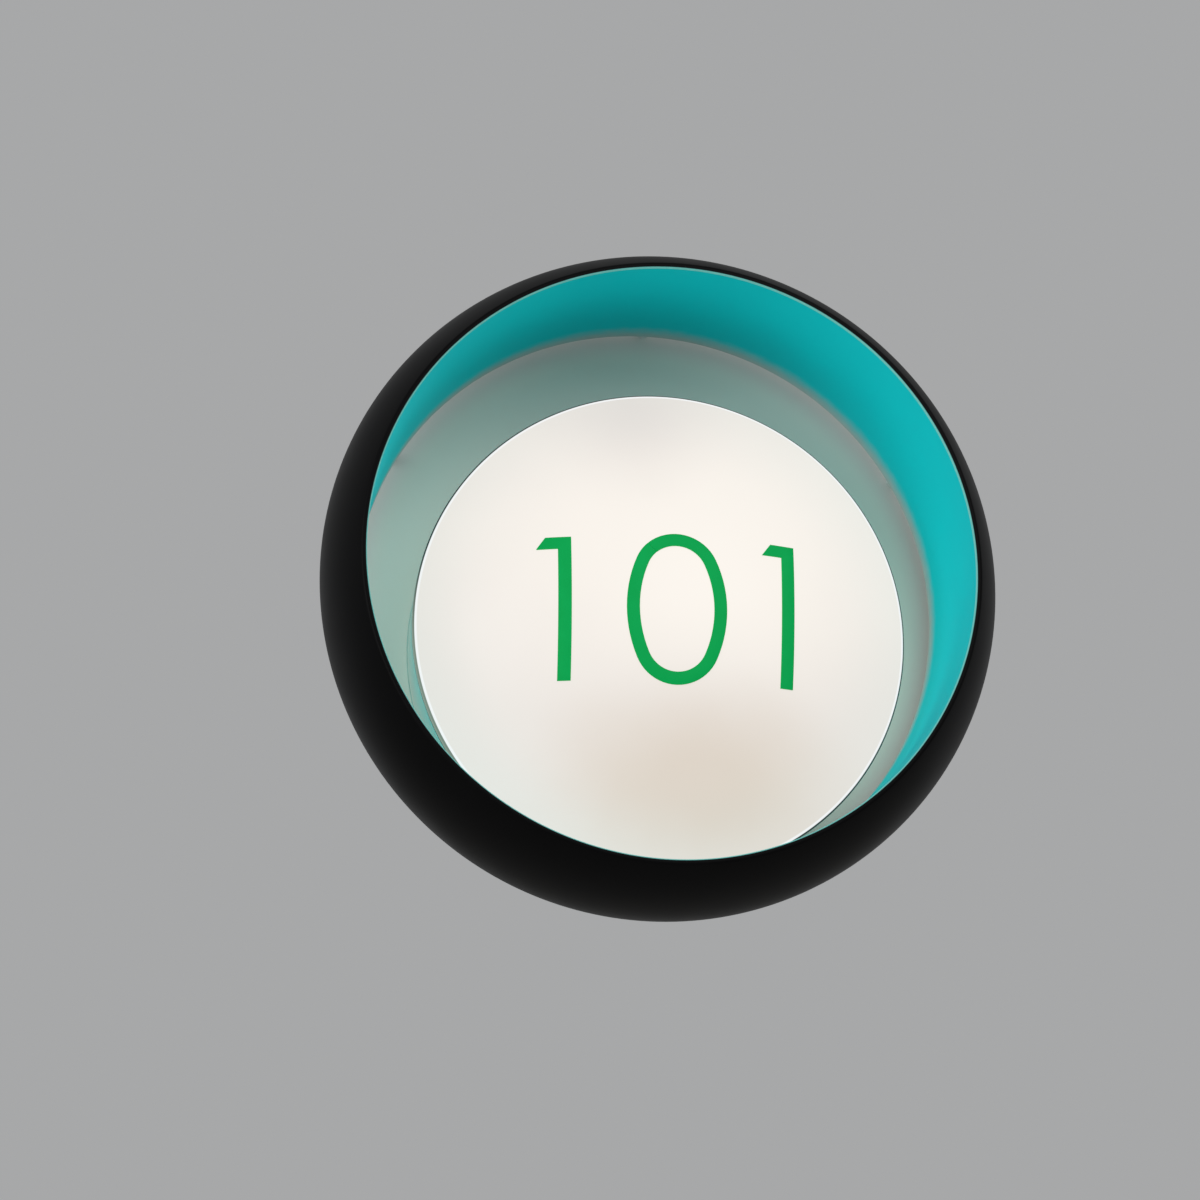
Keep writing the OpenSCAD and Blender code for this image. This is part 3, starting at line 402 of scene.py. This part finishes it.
# %% Earth lead
# Its insulation is yellow and green. The two colours are extruded side by side
# and twist round the lead.
pvc_earth, tree, shader, place = new_finish("green_yellow_pvc_insulation")
twist = add(tree, "ShaderNodeTexWave", {
    "Vector": (place, "Object"), "Scale": per(24), "Distortion": 1.0}, bands_direction="DIAGONAL")
stripe = add(tree, "ShaderNodeMapRange", {"Value": (twist, 1), "From Min": 0.46, "From Max": 0.54})
two_tone = add(tree, "ShaderNodeMix", {
    0: (stripe, 0), 6: colour("#2F8A3B"), 7: colour("#D9C928")}, data_type="RGBA")
feed(shader, {"Base Color": (two_tone, 2), "Roughness": 0.46})

# %% LED board
# White solder mask over copper: the tracks stand out a little as rings round the centre.
track_pitch = 3.5
board_mask, tree, shader, place = new_finish("white_solder_mask")
out = distance_from_axis(tree, place, lens_z)
phase = add(tree, "ShaderNodeMath", {
    0: (out, "Value"), 1: per(track_pitch) * 2 * math.pi}, operation="MULTIPLY")
wave = add(tree, "ShaderNodeMath", {0: (phase, 0)}, operation="SINE")
track = add(tree, "ShaderNodeMapRange", {"Value": (wave, 0), "From Min": -0.2, "From Max": 0.2})
mask_tone = add(tree, "ShaderNodeMix", {
    0: (track, 0), 6: colour("#E9EAE6"), 7: colour("#F3F3F0")}, data_type="RGBA")
bump = add(tree, "ShaderNodeBump", {"Height": (track, 0), "Strength": 0.4, "Distance": 0.05 * MM})
feed(shader, {"Base Color": (mask_tone, 2), "Roughness": 0.35, "Normal": (bump, 0)})

# %% [markdown]
# ## Things that give light
# The dome is opal acrylic, milky all through, so it glows evenly and only its soft changes of
# warmth tell that it is round. Its turned edge is clearer and shows as a thin bright line. The
# figures are translucent green film, lit from behind. The chips are capped with yellow phosphor.

# %% Opal acrylic: the soft zones of its glow
# The lamps leave a wide bright zone above the middle, a dimmer patch at the very top, and a warmer
# one low down, where the board ends. Each lies some millimetres right of the dome's middle and
# above it, and fades out between two distances. A cloud makes its outline uneven.
opal, tree, shader, place = new_finish("opal_acrylic")
cloud = add(tree, "ShaderNodeTexNoise", {
    "Vector": (place, "Object"), "Scale": per(70), "Detail": 3.0})
unevenness = 40 * MM


def zone(right, above, squash, near, far):
    """Goes from 0 inside the zone to 1 outside it. A squash above 1 makes it wider than high."""
    centred = add(tree, "ShaderNodeMapping", {
        "Vector": (place, "Object"), "Scale": (1, 0, squash),
        "Location": (-right * MM, 0, -squash * (lens_z + above * MM))})
    spread = add(tree, "ShaderNodeVectorMath", {0: (centred, 0)}, operation="LENGTH")
    uneven = add(tree, "ShaderNodeMath", {
        0: (cloud, 0), 1: unevenness, 2: (spread, "Value")}, operation="MULTIPLY_ADD")
    return add(tree, "ShaderNodeMapRange", {
        "Value": (uneven, 0), "From Min": near * MM, "From Max": far * MM},
        interpolation_type="SMOOTHSTEP")


face_glow = colour("#F1ECE5")
wide_bright_zone = zone(right=12, above=36, squash=1.5, near=60, far=180)
dimmer_top = zone(right=-16, above=116, squash=1.0, near=10, far=90)
warmer_foot = zone(right=14, above=-82, squash=1.7, near=35, far=120)
for where, inside in (
        (wide_bright_zone, "#FFFAF1"), (dimmer_top, "#E8E3DD"), (warmer_foot, "#E3D9CB")):
    layer = add(tree, "ShaderNodeMix", {
        0: (where, 0), 6: colour(inside), 7: face_glow}, data_type="RGBA")
    face_glow = (layer, 2)

# %% Opal acrylic: its edge
# The turned edge is a bright line. Outside it, on the outermost corner, a thin dark line is painted
# shade: there the body is darker and the glow almost gone. Behind the corner the skirt stands in
# the housing's rim and glows only dimly. At the lower left, where the dome comes close to the
# liner, the line is pale, a painted reflection of the light that the liner sends back.
skirt = 5 * MM
base_y = foot_y - skirt
bright_line_r = lens_r - 1.9 * MM
bright_blur = 0.2 * MM
shade_line_r = lens_r - 0.8 * MM
shade_blur = 0.1 * MM
pale_y = base_y + 0.6 * MM
to_lower_left = (-0.8, 0, -0.6)
depth = add(tree, "ShaderNodeSeparateXYZ", {0: (place, "Object")})
out = distance_from_axis(tree, place, lens_z)
turned_edge = add(tree, "ShaderNodeMapRange", {
    "Value": (out, "Value"),
    "From Min": bright_line_r - bright_blur, "From Max": bright_line_r + bright_blur})
bright_glow = add(tree, "ShaderNodeMix", {
    0: (turned_edge, 0), 6: face_glow, 7: colour("#FFFFFF")}, data_type="RGBA")
# Painted shade: a thin dark line on the dome's outermost corner.
painted_shade_line = add(tree, "ShaderNodeMapRange", {
    "Value": (out, "Value"),
    "From Min": shade_line_r - shade_blur, "From Max": shade_line_r + shade_blur})
behind_corner = add(tree, "ShaderNodeMapRange", {
    "Value": (depth, "Y"), "From Min": pale_y - shade_blur, "From Max": pale_y + shade_blur})
sideways = add(tree, "ShaderNodeVectorMath", {
    0: (place, "Object"), 1: to_lower_left}, operation="DOT_PRODUCT")
# Painted reflection: at the lower left the line turns pale with the liner's light.
near_liner = add(tree, "ShaderNodeMapRange", {
    "Value": (sideways, "Value"), "From Min": 90 * MM, "From Max": 120 * MM, "To Max": 0.8})
pale = add(tree, "ShaderNodeMath", {0: (behind_corner, 0), 1: (near_liner, 0)}, operation="MAXIMUM")
shade_and_skirt_glow = add(tree, "ShaderNodeMix", {
    0: (pale, 0), 6: colour("#2C2C2A"), 7: colour("#8C9486")}, data_type="RGBA")
opal_glow = add(tree, "ShaderNodeMix", {
    0: (painted_shade_line, 0), 6: (bright_glow, 2), 7: (shade_and_skirt_glow, 2)}, data_type="RGBA")
# The body colour is darker on the same line, painted shade too.
body = add(tree, "ShaderNodeMix", {
    0: (painted_shade_line, 0), 6: colour("#5C5355"), 7: colour("#3C3D3A")}, data_type="RGBA")
feed(shader, {
    "Base Color": (body, 2), "Roughness": 0.4, "Specular IOR Level": 0.3,
    "Emission Color": (opal_glow, 2), "Emission Strength": 0.87})
print("skirt", in_mm([skirt]), "mm deep, bright line at", in_mm([bright_line_r]), "mm")

# %% Green film and phosphor
# The film is matt, and slightly cloudy where the light comes through. The
# phosphor is a soft yellow grain.
film_green, tree, shader, place = new_finish("translucent_green_film")
cloud = add(tree, "ShaderNodeTexNoise", {
    "Vector": (place, "Object"), "Scale": per(12), "Detail": 3.0})
film_tone = add(tree, "ShaderNodeMix", {
    0: (cloud, 0), 6: colour("#02893F"), 7: colour("#05954A")}, data_type="RGBA")
feed(shader, {
    "Base Color": (film_tone, 2), "Roughness": 0.6, "Specular IOR Level": 0.1,
    "Emission Color": (film_tone, 2), "Emission Strength": 0.6})

phosphor, tree, shader, place = new_finish("yellow_led_phosphor")
cloud = add(tree, "ShaderNodeTexNoise", {"Vector": (place, "Object"), "Scale": per(1.5)})
chip_tone = add(tree, "ShaderNodeMix", {
    0: (cloud, 0), 6: colour("#F7D86A"), 7: colour("#F0C84E")}, data_type="RGBA")
feed(shader, {
    "Base Color": (chip_tone, 2), "Roughness": 0.5,
    "Emission Color": colour("#FFE9B8"), "Emission Strength": 2.5})

# %% [markdown]
# ## Dressing the CAD pieces
# The record names a finish for each piece. A table from those names to the materials dresses every
# CAD piece in one loop, also those that are seen only from behind or with the dome pulled off.

# %% Give every CAD piece its finish
FINISHES = {
    "black_paint": shell_black, "teal_paint": liner_teal, "grey_paint": plate_grey,
    "white_paint": housing_white, "white_reflector": reflector_white, "galvanised": galvanised,
    "zinc_plated": zinc, "nickel_plated": nickel, "spring_steel": spring, "aluminium_tube": tube,
    "tray_aluminium": tray, "brass_plain": brass, "buffer_rubber": buffer_rubber,
    "seal_rubber": seal_rubber, "terminal_plastic": terminal_nylon, "driver_plastic": driver_shell,
    "board_white": board_mask, "lead_blue": pvc_blue, "lead_earth": pvc_earth, "lead_red": pvc_red,
    "green_film": film_green, "led_phosphor": phosphor, "opal_acrylic": opal,
}
slot_of = {part["node"]: part["material_slot"] for part in frame["record"]["subparts"]}
for name, node in frame["nodes"].items():
    node.data.materials.clear()
    node.data.materials.append(FINISHES[slot_of[name]])
print("dressed", len(frame["nodes"]), "CAD pieces")

# %% [markdown]
# ## Turned pieces
# The shell, the liner and the dome are round about one line, as if made on a lathe. One
# corner is drawn out point by point into the outline of the cut face, and the Spin tool
# sweeps it once round. The two ends then lie on each other, so they are merged before the
# faces are turned outwards.

# %% Helpers for turned pieces
# Corners closer than touching are merged, and an edge bent by more than crease stays sharp.
touching = 0.002 * MM
crease = math.radians(35)
round_steps = 240


def arc(centre, radius, start, end, steps):
    """Points (out, depth) on an arc, by angles in degrees."""
    turns = [math.radians(start + (end - start) * i / steps) for i in range(steps + 1)]
    return [(centre[0] + radius * math.cos(t), centre[1] + radius * math.sin(t)) for t in turns]


def draw(name, points):
    """Draws one corner out from point to point, and stays in edit mode."""
    bpy.ops.object.select_all(action="DESELECT")
    bpy.ops.mesh.primitive_plane_add(size=MM, location=(0, 0, 0))
    piece = bpy.context.object
    piece.name = piece.data.name = name
    bpy.ops.object.mode_set(mode="EDIT")
    bpy.ops.mesh.merge(type="CENTER")
    bpy.ops.transform.translate(value=points[0])
    for start, end in zip(points, points[1:]):
        step = Vector(end) - Vector(start)
        bpy.ops.mesh.extrude_vertices_move(TRANSFORM_OT_translate={"value": step})
    return piece


def turned(name, outline, axis_z=0.0):
    """A piece turned about a line along Y, from an outline of (out, depth)."""
    piece = draw(name, [(out, depth, axis_z) for out, depth in outline])
    bpy.ops.mesh.select_all(action="SELECT")
    bpy.ops.mesh.spin(
        steps=round_steps, angle=2 * math.pi, center=(0, 0, axis_z), axis=(0, 1, 0))
    bpy.ops.mesh.select_all(action="SELECT")
    bpy.ops.mesh.remove_doubles(threshold=touching)
    bpy.ops.mesh.normals_make_consistent(inside=False)
    bpy.ops.object.mode_set(mode="OBJECT")
    bpy.ops.object.shade_smooth_by_angle(angle=crease)
    print(name, len(piece.data.polygons), "faces")
    return piece


def stand_for(piece, node, body):
    """The new piece takes the CAD piece's place, its finish and its motion."""
    piece.data.materials.append(FINISHES[slot_of[node]])
    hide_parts(node)
    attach(piece, body)
    print(piece.name, "stands for", node, "- box in mm:", in_mm(piece.dimensions))

# %% [markdown]
# ## The shell
# A flat ring of steel is spun over a form into a barrel with a narrow lip at the front and a flange
# at the back. It is one sheet all through, so the cut face is a thin hook. The lip's inner corner
# is rolled, which keeps it from cutting fingers. Its thin highlight is partly the light that the
# roll catches and partly a painted highlight in pale teal.

# %% Size the barrel
# Two arcs meet at the widest circle, one from the lip and one from the rear flange.
sheet = 1.5 * MM
lip = 2.5 * MM
flange = 6.5 * MM
setback = 49 * MM
opening_r = liner_r - sheet
bulge = ring_r - (opening_r + lip)
rear_bulge = ring_r - liner_r - flange
apex_y = front_y + setback
rear_setback = shell_rear_y - apex_y
front_arc = (setback ** 2 + bulge ** 2) / (2 * bulge)
rear_arc = (rear_setback ** 2 + rear_bulge ** 2) / (2 * rear_bulge)
print("arcs of the barrel in mm:", in_mm((front_arc, rear_arc)))


def barrel(inset, near, far, steps):
    """The barrel's arc from a front depth to a rear depth, moved inwards by inset."""
    points = []
    for i in range(steps + 1):
        y = near + (far - near) * i / steps
        radius = front_arc if y < apex_y else rear_arc
        points.append((ring_r - radius + math.sqrt((radius - inset) ** 2 - (y - apex_y) ** 2), y))
    return points


# %% Turn the shell
# The lip rolls over into the barrel: a small arc that touches the flat lip
# and the barrel's own arc.
roll = 2 * MM
lip_round = 0.8 * MM
rear_round = 0.5 * MM
arc_centre_out = ring_r - front_arc
roll_y = front_y + roll
roll_out = arc_centre_out + math.sqrt((front_arc - roll) ** 2 - (roll_y - apex_y) ** 2)
roll_end = math.degrees(math.atan2(roll_y - apex_y, roll_out - arc_centre_out)) + 360
outer_roll = arc((roll_out, roll_y), roll, 270, roll_end, steps=8)
outer = barrel(0, outer_roll[-1][1], shell_rear_y - rear_round, steps=48)
inner = barrel(sheet, front_y + sheet, shell_rear_y - sheet, steps=24)
shell_outline = [
    (liner_r, front_y + sheet),
    (opening_r, front_y + sheet),
    *arc((opening_r + lip_round, front_y + lip_round), lip_round, 180, 270, steps=6),
    *outer_roll,
    *outer[1:],
    (outer[-1][0] - rear_round, shell_rear_y),
    (liner_r, shell_rear_y),
    (liner_r, shell_rear_y - sheet),
    *inner[::-1],
]
shell = turned("spun_shell", shell_outline + shell_outline[:1])
stand_for(shell, "outer_shell", "sign")

# %% [markdown]
# ## The liner
# A strip of steel is rolled into a short tube inside the ring, and carries the teal. Its
# rear edge stays open towards the back plate, and the gap lets light out onto the wall, so
# that edge is rounded over.

# %% Turn the liner
half_sheet = sheet / 2
liner_outline = [
    (opening_r, liner_front_y),
    (opening_r, (liner_front_y + liner_rear_y) / 2),
    *arc((opening_r + half_sheet, liner_rear_y - half_sheet), half_sheet, 180, 0, steps=10),
    (liner_r, liner_front_y),
]
liner = turned("rolled_liner", liner_outline + liner_outline[:1])
stand_for(liner, "liner", "sign")

# %% [markdown]
# ## The dome
# A sheet of opal acrylic is blown into a shallow dome and turned down at its edge to a short skirt.
# Both faces are parts of spheres about one centre, so the wall is even. The corners of the edge and
# of the foot are broken, as a lathe leaves them.

# %% Turn the dome
wall = 3 * MM
broken = 0.4 * MM
broken_angle = 0.15
crown = base_y - lens_y
dome_radius = (lens_r ** 2 + crown ** 2) / (2 * crown)
dome_y = lens_y + dome_radius
inner_r = lens_r - wall
half_angle = math.degrees(math.asin(lens_r / dome_radius))
inner_angle = math.degrees(math.asin(inner_r / (dome_radius - wall)))
dome_outline = [
    *arc((0, dome_y), dome_radius, 270, 270 + half_angle - broken_angle, steps=48),
    (lens_r, base_y + broken),
    (lens_r, foot_y - broken),
    (lens_r - broken, foot_y),
    (inner_r + broken, foot_y),
    (inner_r, foot_y - broken),
    *arc((0, dome_y), dome_radius - wall, 270 + inner_angle, 270, steps=32),
]
dome = turned("opal_dome", dome_outline, lens_z)
stand_for(dome, "lens", "dome")

# %% [markdown]
# ## The light that the dome gives
# In the dark the dome is many times brighter than the paint beside it. A picture can't show both,
# so the dome's own material glows only as far as its face stays readable. A second skin just
# outside the dome and its housing, which no camera sees, throws the rest of the light on the liner
# and the back plate. It belongs to the lighting, not to the sign.

# %% Turn the unseen skin
# It follows the dome's face, then the rim of the housing and the housing's
# wall, back to the back plate.
skin_gap = 0.2 * MM
seal = 1.5 * MM
rim_thickness = 1.5 * MM
rim_width = 2 * MM
rim_rear_y = foot_y + seal + rim_thickness
housing_r = housing_rim_r - rim_width
skin_outline = [
    *arc((0, dome_y), dome_radius + skin_gap, 270, 270 + half_angle, steps=12),
    (lens_r + skin_gap, base_y),
    (lens_r + skin_gap, rim_rear_y + skin_gap),
    (housing_r + skin_gap, rim_rear_y + skin_gap),
    (housing_r + skin_gap, plate_front_y - skin_gap),
]
skin = turned("unseen_glow", skin_outline, lens_z)
skin.visible_camera = skin.visible_glossy = skin.visible_shadow = False

# %% Let it glow
# Its strength isn't the same all over. A place on it is counted in radii of the dome from its
# axis, and four numbers say how much the strength grows to the right, between opposite quarters,
# upwards and to both sides.
skin_light = bpy.data.materials.new("dome_light")
skin_light.use_nodes = True
tree = skin_light.node_tree
tree.nodes.clear()
place = add(tree, "ShaderNodeTexCoord")
unit = add(tree, "ShaderNodeMapping", {
    "Vector": (place, "Object"),
    "Location": (0, 0, -lens_z / lens_r), "Scale": (1 / lens_r, 1, 1 / lens_r)})
spot = add(tree, "ShaderNodeSeparateXYZ", {0: (unit, 0)})
cross = add(tree, "ShaderNodeMath", {0: (spot, "X"), 1: (spot, "Z")}, operation="MULTIPLY")
shares = add(tree, "ShaderNodeCombineXYZ", {"X": (spot, "X"), "Y": (cross, 0), "Z": (spot, "Z")})
square = add(tree, "ShaderNodeMath", {0: (spot, "X"), 1: (spot, "X")}, operation="MULTIPLY")


def uneven_light(steady, right, quarters, up, sides):
    """A strength that is steady, plus what it gains in each of the four ways."""
    slope = add(tree, "ShaderNodeVectorMath", {
        0: (shares, 0), 1: (right, quarters, up)}, operation="DOT_PRODUCT")
    more = add(tree, "ShaderNodeMath", {
        0: (square, 0), 1: sides, 2: (slope, "Value")}, operation="MULTIPLY_ADD")
    return add(tree, "ShaderNodeMath", {0: (more, 0), 1: steady})


front_light = uneven_light(steady=1.2, right=-0.6, quarters=1.3, up=0.1, sides=0.2)
side_light = uneven_light(steady=0.16, right=0.07, quarters=0.04, up=0.07, sides=0.86)
on_side = add(tree, "ShaderNodeMath", {0: (spot, "Y"), 1: base_y}, operation="GREATER_THAN")
strength = add(tree, "ShaderNodeMix", {0: (on_side, 0), 2: (front_light, 0), 3: (side_light, 0)})
warm_white = colour("#FFF6EA")
lit = add(tree, "ShaderNodeEmission", {"Color": warm_white, "Strength": (strength, 0)})
print("outer light:", len(tree.nodes), "nodes")

# %% Light the housing from the skin's inner side
# Behind the dome's edge the inner side gives the housing a little light.
# All else passes through it.
housing_light = 0.21
inner_strength = add(tree, "ShaderNodeMath", {
    0: (on_side, 0), 1: housing_light}, operation="MULTIPLY")
inner_glow = add(tree, "ShaderNodeEmission", {"Color": warm_white, "Strength": (inner_strength, 0)})
clear = add(tree, "ShaderNodeBsdfTransparent")
inwards = add(tree, "ShaderNodeAddShader", {0: (clear, 0), 1: (inner_glow, 0)})
behind = add(tree, "ShaderNodeNewGeometry")
one_way = add(tree, "ShaderNodeMixShader", {
    0: (behind, "Backfacing"), 1: (lit, 0), 2: (inwards, 0)})
add(tree, "ShaderNodeOutputMaterial", {"Surface": (one_way, 0)})
skin.data.materials.append(skin_light)
skin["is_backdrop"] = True
print("light of the skin, with its inner side:", len(tree.nodes), "nodes")

# %% [markdown]
# ## The figures
# Each figure is cut flat from film and laid on the dome. Its outline is drawn flat in front
# of the dome and sliced into narrow strips that can bend, and the Shrinkwrap modifier lays them on
# the dome. Solidify gives the film its thickness, and a small bevel softens the cut edge.

# %% Lay a flat figure on the dome
film_gap = 0.1 * MM
film = 0.8 * MM
cut_round = 0.15 * MM
flat_y = lens_y - 20 * MM


def face_front():
    """Turns a flat figure's faces towards the viewer, who stands on the -Y side."""
    bpy.ops.mesh.select_all(action="SELECT")
    bpy.ops.mesh.normals_make_consistent(inside=False)
    bpy.ops.object.mode_set(mode="OBJECT")
    if sum(face.normal.y for face in bpy.context.object.data.polygons) > 0:
        bpy.ops.object.mode_set(mode="EDIT")
        bpy.ops.mesh.flip_normals()
        bpy.ops.object.mode_set(mode="OBJECT")


def apply_modifier(piece, kind, **settings):
    """Adds a modifier, sets it and applies it."""
    modifier = piece.modifiers.new(kind, kind)
    for name, value in settings.items():
        setattr(modifier, name, value)
    bpy.ops.object.modifier_apply(modifier=modifier.name)


def lay_on_dome(piece, node):
    """Presses a flat figure on the dome and gives it thickness."""
    face_front()
    bpy.context.view_layer.objects.active = piece
    apply_modifier(
        piece, "SHRINKWRAP", target=dome, wrap_method="PROJECT", use_project_y=True,
        use_positive_direction=True, offset=film_gap)
    apply_modifier(piece, "SOLIDIFY", thickness=film, offset=1)
    apply_modifier(piece, "BEVEL", width=cut_round, segments=2, angle_limit=math.radians(50))
    bpy.ops.object.shade_smooth_by_angle(angle=crease)
    stand_for(piece, node, "dome")


# %% The two figures 1
stroke = 6.3 * MM
one_height = 72.3 * MM
block_x = 0.9 * MM
block_z = lens_z - 0.5 * MM


def slice_flat(centre, direction, low, high, spacing=3 * MM):
    """Cuts the flat figure straight across at even spaces, along one direction from its centre."""
    count = int((high - low) / spacing)
    for i in range(1, count):
        cut = centre + direction * (low + (high - low) * i / count)
        bpy.ops.mesh.select_all(action="SELECT")
        bpy.ops.mesh.bisect(plane_co=cut, plane_no=direction)


def figure_one(name, node, x, lean):
    """A stem with a flag cut off at a slant, leaning clockwise by some degrees."""
    left, right, top = -stroke / 2, stroke / 2, one_height / 2
    notch = top - 0.95 * stroke
    flag_top, flag_tip = left - 0.94 * stroke, left - 1.62 * stroke
    corners = [
        (left, -top), (right, -top), (right, top),
        (flag_top, top), (flag_tip, notch), (left, notch), (left, -top)]
    turn = math.radians(lean)
    centre = Vector((block_x + x, flat_y, block_z))
    aside = Vector((math.cos(turn), 0, -math.sin(turn)))
    upwards = Vector((math.sin(turn), 0, math.cos(turn)))
    piece = draw(name, [centre + u * aside + v * upwards for u, v in corners])
    bpy.ops.mesh.select_all(action="SELECT")
    bpy.ops.mesh.remove_doubles(threshold=touching)
    bpy.ops.mesh.edge_face_add()
    slice_flat(centre, upwards, -top - MM, top + MM)
    slice_flat(centre, aside, -2 * stroke, stroke)
    lay_on_dome(piece, node)


figure_one("film_hundreds", "digit_hundreds", x=-53.9 * MM, lean=0)
figure_one("film_units", "digit_units", x=56.2 * MM, lean=1.2)

# %% The figure 0
# Four arcs make the oval. An edge as wide as the stroke is swept along them with the Spin
# tool, from one side of the narrow seam to the other, and each sweep goes on from the edge
# that the last one left selected.
zero_width = 49.2 * MM
end_share = 0.43
overshoot = 1.8 * MM
seam = 0.14 * MM
seam_at = 131
end_r = end_share * zero_width
end_z = one_height / 2 + overshoot - end_r
side_r = (end_z ** 2 + (zero_width / 2) ** 2 - end_r ** 2) / (zero_width - 2 * end_r)
side_x = side_r - zero_width / 2
meet = math.degrees(math.atan2(end_z, side_x))
half_seam = math.degrees(seam / 2 / (end_r - stroke / 2))
start = math.radians(seam_at - half_seam)
first_edge = [
    (block_x + r * math.cos(start), flat_y, block_z + end_z + r * math.sin(start))
    for r in (end_r, end_r - stroke)]
zero = draw("film_tens", first_edge)
bpy.ops.mesh.select_all(action="SELECT")
# Each arc by its middle, its angle in degrees and its number of steps.
sweeps = [
    ((0, end_z), seam_at - half_seam - meet, 16),
    ((-side_x, 0), 2 * meet, 14),
    ((0, -end_z), 180 - 2 * meet, 22),
    ((side_x, 0), 2 * meet, 14),
    ((0, end_z), 180 - meet - seam_at - half_seam, 6),
]
for (u, v), degrees, steps in sweeps:
    bpy.ops.mesh.spin(
        steps=steps, angle=math.radians(degrees),
        center=(block_x + u, flat_y, block_z + v), axis=(0, -1, 0))
lay_on_dome(zero, "digit_tens")

# %% [markdown]
# ## Closing
# Both boxes are printed: the CAD model's near the top, the finished scene's here.

# %% Measure the finished scene
made_low, made_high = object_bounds()
print("visual box in mm:", in_mm(high - low for low, high in zip(made_low, made_high)))
